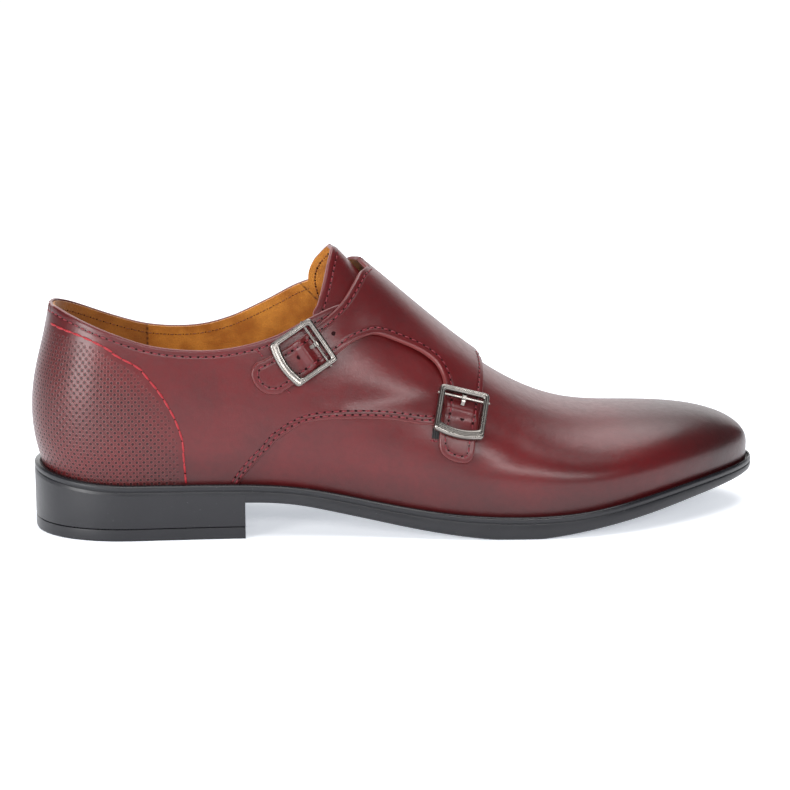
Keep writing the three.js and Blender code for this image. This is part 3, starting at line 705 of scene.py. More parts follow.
def distance_to_line(points: Points, starts: Points, ends: Points) -> Points:
    """Shortest distance from each point to a set of straight pieces.

    Args:
        points: Points.
        starts: Start of each straight piece.
        ends: End of each straight piece.

    Returns:
        One distance a point.
    """
    span = ends - starts
    square = np.maximum((span * span).sum(1), 1e-12)
    best = []
    for chunk in np.array_split(points, max(len(points) // LINE_CHUNK, 1)):
        gap = chunk[:, None, :] - starts[None]
        t = np.clip((gap * span[None]).sum(2) / square, 0, 1)
        best.append(np.sqrt(((gap - t[..., None] * span[None]) ** 2).sum(2).min(1)))
    return np.concatenate(best)


def smoothed(line: Points, reach: int) -> Points:
    """Running mean of a line over as many points before as after, with its ends kept."""
    padded = np.pad(line, ((reach, reach), (0, 0)), mode="reflect", reflect_type="odd")
    kernel = np.full(2 * reach + 1, 1 / (2 * reach + 1))
    return np.stack([np.convolve(padded[:, k], kernel, mode="valid") for k in range(2)], axis=1)


def inside_loop(points: Points, loop: Points) -> Points:
    """Whether each flat point lies in a loop, by counting the edges that a ray crosses."""
    a, b = loop, np.roll(loop, -1, axis=0)
    found = []
    for chunk in np.array_split(points, max(len(points) // LOOP_CHUNK, 1)):
        x, y = chunk[:, :1], chunk[:, 1:]
        spans = (a[:, 1] > y) != (b[:, 1] > y)
        rise = np.where(np.abs(b[:, 1] - a[:, 1]) < 1e-12, 1e-12, b[:, 1] - a[:, 1])
        cross = a[:, 0] + (y - a[:, 1]) / rise * (b[:, 0] - a[:, 0])
        found.append((np.sum(spans & (x < cross), axis=1) % 2) == 1)
    return np.concatenate(found)


@dataclass(frozen=True)
class Crease:
    """Soft trough, or ridge where its depth is below 0, along an outer side-view line."""

    start: Span
    end: Span
    depth: float
    width: float
    ends_at: float = 8.0

    def height(self, points: Points) -> Points:
        """Bell over the distance from the line: -depth * exp(-(distance / width)^2).

        Args:
            points: Points of the surface.

        Returns:
            Height to add at each point.
        """
        flat = points[:, [0, 2]]
        start, end = np.array([self.start], float), np.array([self.end], float)
        gap = distance_to_line(flat, start, end)
        return np.where(points[:, 1] < self.ends_at, -self.depth * np.exp(-((gap / self.width) ** 2)), 0)


@dataclass
class CutPanel:
    """One skin cut along a closed outline on the last, with a rounded edge and a back face."""

    last: Last
    outline: Points
    free: Points
    top: HeightOf
    bottom: HeightOf
    grain: float = 1.1
    round_width: float = 0.7
    round_depth: float = 0.5
    insets: tuple[float, ...] = (0.15, 0.4, 0.75, 1.3)
    grid_clear: float = 0.35
    inset_clear: float = 0.8
    merge: float = 1e-5
    sharp_deg: float = 55.0

    def points_inside(self, loop: Points, ring: Points) -> Points:
        """Flat grid and inset points that lie inside the outline and clear of it.

        Args:
            loop: The outline in flat millimetres.
            ring: The outline's points on the last.

        Returns:
            Flat places.
        """
        low, high = loop.min(0), loop.max(0)
        a = np.arange(low[0] + self.grain / 2, high[0], self.grain)
        b = np.arange(low[1] + self.grain / 2, high[1], self.grain)
        grid = np.stack(np.meshgrid(a, b), axis=-1).reshape(-1, 2)
        groups = [(grid, self.insets[-1] + self.grid_clear * self.grain)]
        for inset in self.insets:
            moved = self.last.flat(self.last.inset(self.outline, inset, True))
            groups.append((moved, self.inset_clear * inset))
        kept = []
        for places, clear in groups:
            places = places[inside_loop(places, loop)]
            uv = self.last.unflat(places)
            on = self.last.point(uv[:, 0], uv[:, 1])
            kept.append(places[distance_to_line(on, ring, np.roll(ring, -1, axis=0)) > clear])
        return np.concatenate(kept)

    def build(
        self, name: str, materials: Sequence[Look], back_slot: int = 0
    ) -> Piece:
        """Triangulates the outline, lifts it to its top and bottom heights and closes its rim.

        The top drops near a free edge by round_depth * (1 - sqrt(1 - (1 - d / w)^2)), a quarter
        of an ellipse over the distance d to the edge.

        Args:
            name: Name of the piece.
            materials: Its materials, the face's first.
            back_slot: Number of the material of its back.

        Returns:
            The closed panel.
        """
        loop = self.last.flat(self.outline)
        ring = self.last.point(self.outline[:, 0], self.outline[:, 1])
        places = np.concatenate([loop, self.points_inside(loop, ring)])
        count = len(loop)
        edges = [(k, (k + 1) % count) for k in range(count)]
        corners = [tuple(place) for place in places]
        found = delaunay_2d_cdt(corners, edges, [list(range(count))], 1, self.merge, False)
        flat = np.array([tuple(p) for p in found[0]])
        faces = np.array(found[2])
        faces = faces[inside_loop(flat[faces].mean(1), loop)]
        uv = self.last.unflat(flat)
        on = self.last.point(uv[:, 0], uv[:, 1])
        following = np.roll(ring, -1, axis=0)
        gap = distance_to_line(on, ring[self.free], following[self.free])
        t = np.clip(1 - gap / self.round_width, 0, 1)
        drop = self.round_depth * (1 - np.sqrt(np.maximum(1 - t * t, 0)))
        out = self.last.normal(uv[:, 0], uv[:, 1])
        high = on + out * (self.top(uv, on) - drop)[:, None]
        low = on + out * self.bottom(uv, on)[:, None]
        sides = np.concatenate([faces[:, [0, 1]], faces[:, [1, 2]], faces[:, [2, 0]]])
        key = np.sort(sides, axis=1)
        _, first, times = np.unique(key, axis=0, return_index=True, return_counts=True)
        rim = sides[first[times == 1]]
        shift = len(flat)
        wall = np.stack([rim[:, 1], rim[:, 0], rim[:, 0] + shift, rim[:, 1] + shift], axis=1)
        return make_object(
            name,
            np.concatenate([high, low]),
            [faces, faces[:, ::-1] + shift, wall],
            materials,
            slots=[0, back_slot, 0],
            values={"edge": np.r_[gap, gap]},
            crease_deg=self.sharp_deg,
        )


def clean_loop(uv: Points, free: Points, last: Last, gap: float = 0.08) -> tuple[Points, Points]:
    """Outline without points that fall on their neighbour.

    Args:
        uv: Outline on the chart.
        free: Whether the piece of outline after each point is a free edge.
        last: The last.
        gap: Smallest distance kept.

    Returns:
        The outline and its flags.
    """
    flat = last.flat(uv)
    keep = np.linalg.norm(flat - np.roll(flat, 1, axis=0), axis=1) > gap
    return uv[keep], free[keep]


# Seams


@dataclass(frozen=True)
class ThreadSize:
    """Sizes of a row of stitches, and shares that shape a stitch and the hole after it."""

    pitch: float = 3.1
    length: float = 2.1
    width: float = 0.62
    stand: float = 0.34
    hole: float = 0.52
    sink: float = 0.25
    taper: float = 0.8
    swing: float = 0.05
    fullness: float = 0.32
    hole_stretch: float = 1.25
    hole_rise: float = 0.07
    hole_dish: float = 0.12
    reach: float = 0.6


@dataclass
class Seam:
    """Row of stitches along a line on the last, with the needle holes between them."""

    last: Last
    uv: Points
    height: HeightOf
    size: ThreadSize
    facing: float = 1.0

    def places(self) -> tuple[Points, Points]:
        """Origins and frames of the stitches: along the line, across it and out of the leather."""
        uv = self.uv
        on = self.last.point(uv[:, 0], uv[:, 1])
        out = self.last.normal(uv[:, 0], uv[:, 1])
        line = on + out * self.height(uv, on)[:, None]
        length = np.r_[0, np.cumsum(np.linalg.norm(np.diff(line, axis=0), axis=1))]
        count = max(int(length[-1] / self.size.pitch), 1)
        wanted = (np.arange(count) + 0.5) * length[-1] / count
        origin = np.stack([np.interp(wanted, length, line[:, k]) for k in range(3)], axis=1)
        normal = unit(np.stack([np.interp(wanted, length, out[:, k]) for k in range(3)], axis=1))
        ahead = np.stack([np.interp(wanted + self.size.reach, length, line[:, k]) for k in range(3)], axis=1)
        behind = np.stack([np.interp(wanted - self.size.reach, length, line[:, k]) for k in range(3)], axis=1)
        along = ahead - behind
        along = unit(along - (along * normal).sum(1, keepdims=True) * normal)
        normal = normal * self.facing
        return origin, np.stack([along, np.cross(normal, along), normal], axis=1)

    def stitches(self) -> tuple[Points, Points]:
        """Stitches: ellipse sections carried along a low arch, swinging a little left and right.

        With t from -1 to 1, the section is (1 - t^2)^(taper / 2) thick. A point lies t * length / 2
        along the row, width / 2 * thick * cos(a) + swing * t across it, and out of the leather by
        stand * ((1 - sink) * (1 - t^2) - sink) + width * fullness * thick * sin(a).

        Returns:
            Points and faces of the row.
        """
        t = np.sin(np.linspace(-math.pi / 2, math.pi / 2, 7))
        a = np.linspace(0, 2 * math.pi, 8, endpoint=False)
        t, a = np.meshgrid(t, a, indexing="ij")
        size = self.size
        thick = np.sqrt(np.maximum(1 - t**2, 1e-4)) ** size.taper
        x = t * size.length / 2
        y = size.width / 2 * thick * np.cos(a) + size.swing * t
        arch = (1 - size.sink) * (1 - t**2) - size.sink
        z = size.stand * arch + size.width * size.fullness * thick * np.sin(a)
        template = np.stack([x, y, z], axis=-1).reshape(-1, 3)
        origin, frame = self.places()
        return repeated(template, grid_faces(7, 8, loop_columns=True)[:, ::-1], frame, origin)

    def holes(self) -> tuple[Points, Points]:
        """Needle holes: low domes half a pitch from the stitches, dark with painted shade.

        Returns:
            Points and faces of the row.
        """
        r = np.array([0.02, 0.6, 1.0])
        a = np.linspace(0, 2 * math.pi, 10, endpoint=False)
        r, a = np.meshgrid(r, a, indexing="ij")
        size = self.size
        x, y = size.hole_stretch * size.hole * r * np.cos(a), size.hole * r * np.sin(a)
        dome = np.stack([x, y, size.hole_rise - size.hole_dish * r**2], axis=-1)
        origin, frame = self.places()
        middle = (origin[1:] + origin[:-1]) / 2
        return repeated(dome.reshape(-1, 3), grid_faces(3, 10, loop_columns=True), frame[1:], middle)


def joined(parts: Sequence[tuple[Points, Points]]) -> tuple[Points, Points]:
    """Points and faces of several shapes as one."""
    shift = np.cumsum([0] + [len(p) for p, _ in parts[:-1]])
    return (
        np.concatenate([p for p, _ in parts]),
        np.concatenate([f + s for (_, f), s in zip(parts, shift, strict=True)]),
    )


# Shaders


class Level:
    """A number socket, or its expression: arithmetic on it adds Math nodes."""

    def __init__(self, shader: "Shader", socket: bpy.types.NodeSocket) -> None:
        """Wraps a socket of a shader."""
        self.shader = shader
        self.socket = socket

    def math(self, operation: str, *others: "Level | float") -> "Level":
        """Result of a Math node on this level and others."""
        values = {k: v for k, v in enumerate((self, *others))}
        return self.shader.node("ShaderNodeMath", {"operation": operation}, values)

    def __add__(self, other: "Level | float") -> "Level":
        """Sum."""
        return self.math("ADD", other)

    __radd__ = __add__

    def __sub__(self, other: "Level | float") -> "Level":
        """Difference."""
        return self.math("SUBTRACT", other)

    def __rsub__(self, other: float) -> "Level":
        """Difference from a number."""
        return self.shader.node("ShaderNodeMath", {"operation": "SUBTRACT"}, {0: other, 1: self})

    def __mul__(self, other: "Level | float") -> "Level":
        """Product."""
        return self.math("MULTIPLY", other)

    __rmul__ = __mul__

    def largest(self, other: "Level | float") -> "Level":
        """Larger of two levels."""
        return self.math("MAXIMUM", other)

    def step(self, low: float, high: float) -> "Level":
        """Smooth step from 0 at low to 1 at high."""
        settings = {"interpolation_type": "SMOOTHSTEP"}
        values = {"Value": self, "From Min": low, "From Max": high}
        return self.shader.node("ShaderNodeMapRange", settings, values)

    def bell(self, centre: float, width: float) -> "Level":
        """1 at centre, falling smoothly to 0 one width away on both sides."""
        gap = (self - centre).math("ABSOLUTE")
        return 1 - gap.step(0, width)


class Shader:
    """One procedural material."""

    def __init__(self, name: str) -> None:
        """Makes an empty material with its Object coordinates at hand."""
        self.material = bpy.data.materials.new(name)
        self.material.use_nodes = True
        self.tree = self.material.node_tree
        self.tree.nodes.clear()
        self.place = self.node("ShaderNodeTexCoord", {}, {}, "Object").socket

    def node(self, kind: str, settings: dict, values: dict, output: int | str = 0) -> Level:
        """Adds a node, with its settings first and then its values and links.

        Args:
            kind: Type of the node.
            settings: Properties of the node.
            values: Numbers, colours, levels or sockets by input name or number.
            output: Output to hand back.

        Returns:
            The wrapped output.
        """
        made = self.tree.nodes.new(kind)
        for key, value in settings.items():
            setattr(made, key, value)
        for key, value in values.items():
            source = value.socket if isinstance(value, Level) else value
            if isinstance(source, bpy.types.NodeSocket):
                self.tree.links.new(source, made.inputs[key])
            else:
                made.inputs[key].default_value = source
        return Level(self, made.outputs[output])

    def noise(self, scale: float, detail: float) -> Level:
        """Noise with so many swells to the metre."""
        values = {"Vector": self.place, "Scale": scale, "Detail": detail}
        return self.node("ShaderNodeTexNoise", {}, values)

    def cells(self, scale: float) -> Level:
        """Distance from the edges of cells, so many to the metre."""
        settings = {"feature": "DISTANCE_TO_EDGE"}
        values = {"Vector": self.place, "Scale": scale}
        return self.node("ShaderNodeTexVoronoi", settings, values, "Distance")

    def kept(self, name: str) -> Level:
        """Number kept at the piece's points."""
        return self.node("ShaderNodeAttribute", {"attribute_name": name}, {}, "Fac")

    def axes(self) -> tuple[Level, Level, Level]:
        """The three coordinates of the place on the shoe, in metres."""
        first = self.node("ShaderNodeSeparateXYZ", {}, {0: self.place})
        outputs = first.socket.node.outputs
        return first, Level(self, outputs[1]), Level(self, outputs[2])

    def mix(self, share: Level | float, first: object, second: object) -> Level:
        """Colour between two colours.

        Args:
            share: Share of the second colour.
            first: Colour or level.
            second: Colour or level.

        Returns:
            The mixed colour.
        """
        return self.node("ShaderNodeMix", {"data_type": "RGBA"}, {0: share, 6: first, 7: second}, 2)

    def finish(self, values: dict, bumps: Sequence[tuple[Level, float]] = ()) -> Look:
        """Ends the material with a Principled shader.

        Args:
            values: Its inputs.
            bumps: Heights and their depth in millimetres, fed one after the other into Normal.

        Returns:
            The material.
        """
        normal: Level | None = None
        for height, depth in bumps:
            feed: dict = {"Height": height, "Strength": 1.0, "Distance": depth * MM}
            if normal is not None:
                feed["Normal"] = normal
            normal = self.node("ShaderNodeBump", {}, feed)
        if normal is not None:
            values = {**values, "Normal": normal}
        surface = self.node("ShaderNodeBsdfPrincipled", {}, values)
        output = self.tree.nodes.new("ShaderNodeOutputMaterial")
        self.tree.links.new(surface.socket, output.inputs["Surface"])
        return self.material


@dataclass(frozen=True)
class LeatherFinish:
    """Smooth burgundy calf, darkened by hand towards toe, heel and sole edge.

    Scales are swells to the metre, spans along X and Z are metres, distances from edges and
    holes are millimetres, and each bump has its depth in millimetres.
    """

    name: str = "burgundy_calf"
    red: Colour = srgb(91, 15, 19)
    deep: Colour = srgb(62, 14, 17)
    burnt: Colour = srgb(38, 17, 18)
    raw: Colour = srgb(132, 70, 68)
    # Painted shade of the inside of a punched hole.
    hole_shade: Colour = srgb(28, 8, 10)
    roughness: float = 0.34
    coat: float = 0.18
    coat_roughness: float = 0.26
    gloss: float = 0.40
    cloud_scale: float = 38.0
    patch_scale: float = 420.0
    speck_scale: float = 2600.0
    grain_scale: float = 900.0
    pore_scale: float = 1500.0
    swell_scale: float = 160.0
    toe_span: Span = (0.200, 0.262)
    toe_lean: float = 0.35
    foot_span: Span = (0.012, 0.044)
    waist_at: float = 0.13
    waist_drop: float = 0.010
    heel_span: Span = (-0.045, 0.005)
    rim_span: Span = (0.05, 0.55)
    seam_inset: float = 2.6
    seam_width: float = 1.0
    punched: bool = False
    punch_pitch: float = 3.0
    punch_rise: float = 3.1
    punch_span: Span = (0.34, 0.60)
    ring_at: Span = (0.76, 0.24)

    def material(self) -> Look:
        """Builds the leather: clouded colour, burnish, pores, seam troughs darkened as painted shade, and
        punched holes dark with painted shade.
        """
        s = Shader(self.name)
        x, _, z = s.axes()
        cloud = s.noise(self.cloud_scale, 3).step(0.3, 0.7)
        patch = s.noise(self.patch_scale, 3)
        speck = s.noise(self.speck_scale, 2)
        toe = (x + self.toe_lean * z).step(*self.toe_span)
        waist = x.bell(self.waist_at, self.waist_at) * self.waist_drop
        foot = 1 - (z + waist).step(*self.foot_span)
        heel = 1 - x.step(*self.heel_span)
        burn = (0.85 * toe).largest(0.55 * foot).largest(0.35 * heel) + (cloud - 0.5) * 0.16
        colour = s.mix(cloud * 0.35, self.red, self.deep)
        colour = s.mix(burn, colour, self.burnt)
        colour = s.mix(patch.step(0.35, 0.75) * 0.16, colour, self.burnt)
        edge = s.kept("edge")
        colour = s.mix((1 - edge.step(*self.rim_span)) * 0.55, colour, self.raw)
        trough = edge.bell(self.seam_inset, self.seam_width)
        # Painted shade: the seam trough along the stitches is darkened towards the burnt colour.
        colour = s.mix(trough * 0.25, colour, self.burnt)
        pores = s.cells(self.grain_scale) * 0.6 + s.noise(self.pore_scale, 3) * 0.6
        bumps = [(pores, 0.045), (s.noise(self.swell_scale, 3), 0.16), (1 - trough, 0.12)]
        rough = self.roughness + (patch - 0.5) * 0.14 + (speck - 0.5) * 0.10
        if self.punched:
            holes, rings = self.punches(s)
            # Painted shade: the punched holes take the dark colour of their shaded inside.
            colour = s.mix(holes * 0.85, colour, self.hole_shade)
            colour = s.mix(rings * 0.42, colour, self.raw)
            rough = rough + holes * 0.3
            bumps += [(1 - holes, 0.30), (rings, 0.05)]
        values = {
            "Base Color": colour,
            "Roughness": rough,
            "Coat Weight": self.coat,
            "Coat Roughness": self.coat_roughness,
            "Specular IOR Level": self.gloss,
        }
        return s.finish(values, bumps)

    def punches(self, s: Shader) -> tuple[Level, Level]:
        """Staggered round holes inside the counter's seam, by the way round the heel and height.

        Two square patterns half a pitch apart make the stagger, and the holes grow fainter
        towards the seam.

        Args:
            s: The shader.

        Returns:
            The holes and the faint swollen ring about each.
        """
        around = s.kept("around")
        _, _, z = s.axes()
        inside = s.kept("counter")
        strength = inside.step(2.0, 2.4) * (0.55 + 0.45 * inside.step(3.0, 12.0))
        gaps = []
        for shift in (0.0, 0.5):
            p = (around * (1 / self.punch_pitch) + shift).math("FRACT") - 0.5
            q = (z * (1 / MM / self.punch_rise) + shift).math("FRACT") - 0.5
            gaps.append((p * p * self.punch_pitch**2 + q * q * self.punch_rise**2).math("SQRT"))
        holes = (1 - gaps[0].step(*self.punch_span)).largest(1 - gaps[1].step(*self.punch_span))
        rings = gaps[0].bell(*self.ring_at).largest(gaps[1].bell(*self.ring_at))
        return holes * strength, rings * strength


@dataclass(frozen=True)
class SuedeFinish:
    """Tan napped lining, with the heel grip's upright seam and a slanted seam near the tongue.

    Places and widths of the seams are in metres, their stitch pitch in millimetres.
    """

    name: str = "tan_suede"
    light: Colour = srgb(208, 138, 52)
    dark: Colour = srgb(166, 98, 28)
    worn: Colour = srgb(136, 82, 34)
    stitch: Colour = srgb(66, 32, 12)
    grip_end: float = 0.0045
    slant_x: float = 0.0670
    slant_z: float = 0.0966
    slant_above: float = 0.079
    grip_seam: float = 0.0009
    slant_seam: float = 0.0007
    soften: float = 0.0004
    stitch_pitch: float = 2.2
    nap_scale: float = 90.0
    fibre_scale: float = 1900.0
    swell_scale: float = 320.0

    def material(self) -> Look:
        """Builds the suede: brushed nap in patches, fibres, the worn grip and its seams."""
        s = Shader(self.name)
        x, _, z = s.axes()
        nap = s.noise(self.nap_scale, 4).step(0.35, 0.68)
        fibre = s.noise(self.fibre_scale, 3)
        colour = s.mix(nap, self.dark, self.light)
        colour = s.mix(fibre.step(0.4, 0.75) * 0.35, colour, self.dark)
        grip = 1 - x.step(self.grip_end - self.soften, self.grip_end + self.soften)
        colour = s.mix(grip * 0.55, colour, self.worn)
        slant = ((x - self.slant_x) + (z - self.slant_z)) * math.sqrt(0.5)
        leaning = slant.bell(0.0, self.slant_seam) * x.step(self.slant_x - MM, self.slant_x)
        leaning = leaning * z.step(self.slant_above - MM, self.slant_above + MM)
        rows = x.bell(self.grip_end, self.grip_seam).largest(leaning)
        dashes = (z * (2 * math.pi / MM / self.stitch_pitch)).math("SINE").step(-0.2, 0.2)
        colour = s.mix(rows * (0.35 + dashes * 0.5), colour, self.stitch)
        values = {
            "Base Color": colour,
            "Roughness": 0.86 + (fibre - 0.5) * 0.15,
            "Sheen Weight": 0.35,
            "Sheen Roughness": 0.5,
            "Specular IOR Level": 0.25,
        }
        return s.finish(values, [(fibre, 0.25), (s.noise(self.swell_scale, 3), 0.25)])


@dataclass(frozen=True)
class RubberFinish:
    """Moulded charcoal rubber, with painted shade where a small notch lies on the heel's outer ground edge.
    """

    name: str = "charcoal_rubber"
    body: Colour = srgb(20, 20, 25)
    worn: Colour = srgb(29, 29, 34)
    glossy: Colour = srgb(20, 20, 22)
    dust: Colour = srgb(120, 120, 124)
    notch_shade: Colour = srgb(3, 3, 4)
    roughness: float = 0.38
    flow_scale: float = 45.0
    speck_scale: float = 1300.0
    swell_scale: float = 260.0
    notch_x: float = 0.0160
    notch_width: float = 0.0012
    notch_height: Span = (0.0008, 0.0016)

    def material(self) -> Look:
        """Builds the rubber: faint flow marks, specks and a glossier lip."""
        s = Shader(self.name)
        x, y, z = s.axes()
        flow = s.noise(self.flow_scale, 3).step(0.35, 0.7)
        speck = s.noise(self.speck_scale, 2)
        lip = s.kept("lip")
        colour = s.mix(flow * 0.4, self.body, self.worn)
        colour = s.mix(lip * 0.75, colour, self.glossy)
        colour = s.mix(speck.step(0.72, 0.80) * 0.35, colour, self.dust)
        # Painted shade: a near-black mark where the heel's notch lies, low on the outer side.
        low = 1 - z.step(*self.notch_height)
        outer = 1 - y.step(-2 * MM, 0.0)
        colour = s.mix(x.bell(self.notch_x, self.notch_width) * low * outer, colour, self.notch_shade)
        rough = self.roughness + (flow - 0.5) * 0.10 + (speck - 0.5) * 0.10 - lip * 0.22
        bumps = [(speck, 0.03), (s.noise(self.swell_scale, 3), 0.05)]
        return s.finish({"Base Color": colour, "Roughness": rough}, bumps)


@dataclass(frozen=True)
class ThreadFinish:
    """Waxed sewing thread."""

    name: str
    colour: Colour
    shaded: Colour = srgb(70, 10, 16)
    fibre_scale: float = 2600.0

    def material(self) -> Look:
        """Builds the thread: fibres in two shades."""
        s = Shader(self.name)
        fibre = s.noise(self.fibre_scale, 2)
        colour = s.mix(fibre.step(0.35, 0.7) * 0.5, self.colour, self.shaded)
        return s.finish({"Base Color": colour, "Roughness": 0.55 + (fibre - 0.5) * 0.2}, [(fibre, 0.08)])


@dataclass(frozen=True)
class HoleShadeFinish:
    """Painted shade: the dark inside of a needle hole or a punched hole."""

    name: str = "needle_hole_shade"
    dark: Colour = srgb(24, 6, 8)
    light: Colour = srgb(40, 12, 14)
    patch_scale: float = 900.0

    def material(self) -> Look:
        """Builds the painted shade of a hole."""
        s = Shader(self.name)
        shade = s.mix(s.noise(self.patch_scale, 2), self.dark, self.light)
        return s.finish({"Base Color": shade, "Roughness": 0.8, "Specular IOR Level": 0.1})


@dataclass(frozen=True)
class MetalFinish:
    """Antique silver of the buckles."""

    name: str = "antique_silver"
    bright: Colour = srgb(142, 137, 132)
    dark: Colour = srgb(88, 84, 81)
    cloud_scale: float = 110.0

    def material(self) -> Look:
        """Builds the metal: smooth surface with soft darker clouds."""
        s = Shader(self.name)
        cloud = s.noise(self.cloud_scale, 2).step(0.35, 0.7)
        colour = s.mix(cloud * 0.40, self.bright, self.dark)
        rough = 0.26 + cloud * 0.05
        return s.finish({"Base Color": colour, "Metallic": 1.0, "Roughness": rough})


@dataclass(frozen=True)
class ElasticFinish:
    """Ribbed black elastic."""

    name: str = "black_elastic"
    low: Colour = srgb(12, 12, 13)
    high: Colour = srgb(34, 34, 36)
    rib_turns: float = 9000.0

    def material(self) -> Look:
        """Builds the elastic: ribs along the band."""
        s = Shader(self.name)
        x, _, _ = s.axes()
        rib = (x * self.rib_turns).math("SINE") * 0.5 + 0.5
        colour = s.mix(rib, self.low, self.high)
        return s.finish({"Base Color": colour, "Roughness": 0.8 - rib * 0.1}, [(rib, 0.15)])


@dataclass(frozen=True)
class PaleFloorFinish:
    """White studio table."""

    name: str = "white_table"
    light: Colour = srgb(248, 248, 249)
    dull: Colour = srgb(245, 245, 247)
    glow_colour: Colour = srgb(240, 246, 255)
    glow: float = 0.50
    patch_scale: float = 3.0

    def material(self) -> Look:
        """Builds the matt white table."""
        s = Shader(self.name)
        shade = s.mix(s.noise(self.patch_scale, 2), self.light, self.dull)
        values = {
            "Base Color": shade,
            "Roughness": 0.9,
            "Specular IOR Level": 0.1,
            "Emission Color": self.glow_colour,
            "Emission Strength": self.glow,
        }
        return s.finish(values)


@dataclass
class Finishes:
    """All materials of the shoe, made once."""

    def __post_init__(self) -> None:
        """Makes the materials."""
        self.leather = LeatherFinish().material()
        self.counter = LeatherFinish(name="punched_calf", punched=True).material()
        self.suede = SuedeFinish().material()
        self.rubber = RubberFinish().material()
        self.wine_thread = ThreadFinish("wine_thread", srgb(124, 24, 38)).material()
        self.red_thread = ThreadFinish("red_thread", srgb(166, 28, 38)).material()
        self.tan_thread = ThreadFinish("tan_thread", srgb(140, 84, 34)).material()
        # Painted shade for the inside of needle holes and strap holes.
        self.hole_shade = HoleShadeFinish().material()
        self.metal = MetalFinish().material()
        self.elastic = ElasticFinish().material()
        self.floor = PaleFloorFinish().material()


def settle(
    piece: Piece, slot: Material | None = None, nodes: Sequence[str] = ()
) -> Piece:
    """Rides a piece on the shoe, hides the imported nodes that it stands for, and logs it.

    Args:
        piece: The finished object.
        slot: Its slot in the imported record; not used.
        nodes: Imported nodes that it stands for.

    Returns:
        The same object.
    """
    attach(piece, "root")
    if nodes:
        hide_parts(*nodes)
    log.info("%s: %d faces", piece.name, len(piece.data.polygons))
    return piece


# Sub-assemblies


@dataclass
class Seams:
    """Collects rows of stitches, and makes one piece for each thread and one for the holes."""

    finishes: Finishes
    rows: dict[str, list[Seam]] = field(default_factory=dict)

    def add(self, thread: str, seam: Seam) -> None:
        """Adds a row of stitches in a thread."""
        self.rows.setdefault(thread, []).append(seam)

    def build(self) -> None:
        """Makes the stitch pieces and the needle holes."""
        materials = {
            "wine": self.finishes.wine_thread,
            "red": self.finishes.red_thread,
            "tan": self.finishes.tan_thread,
        }
        holes = []
        for thread, seams in self.rows.items():
            points, faces = joined([seam.stitches() for seam in seams])
            settle(make_object(f"{thread}_stitches", points, [faces], [materials[thread]], crease_deg=70))
            holes += [seam.holes() for seam in seams]
        points, faces = joined(holes)
        # The needle holes are dark domes of painted shade.
        settle(make_object("needle_holes", points, [faces], [self.finishes.hole_shade], crease_deg=70))


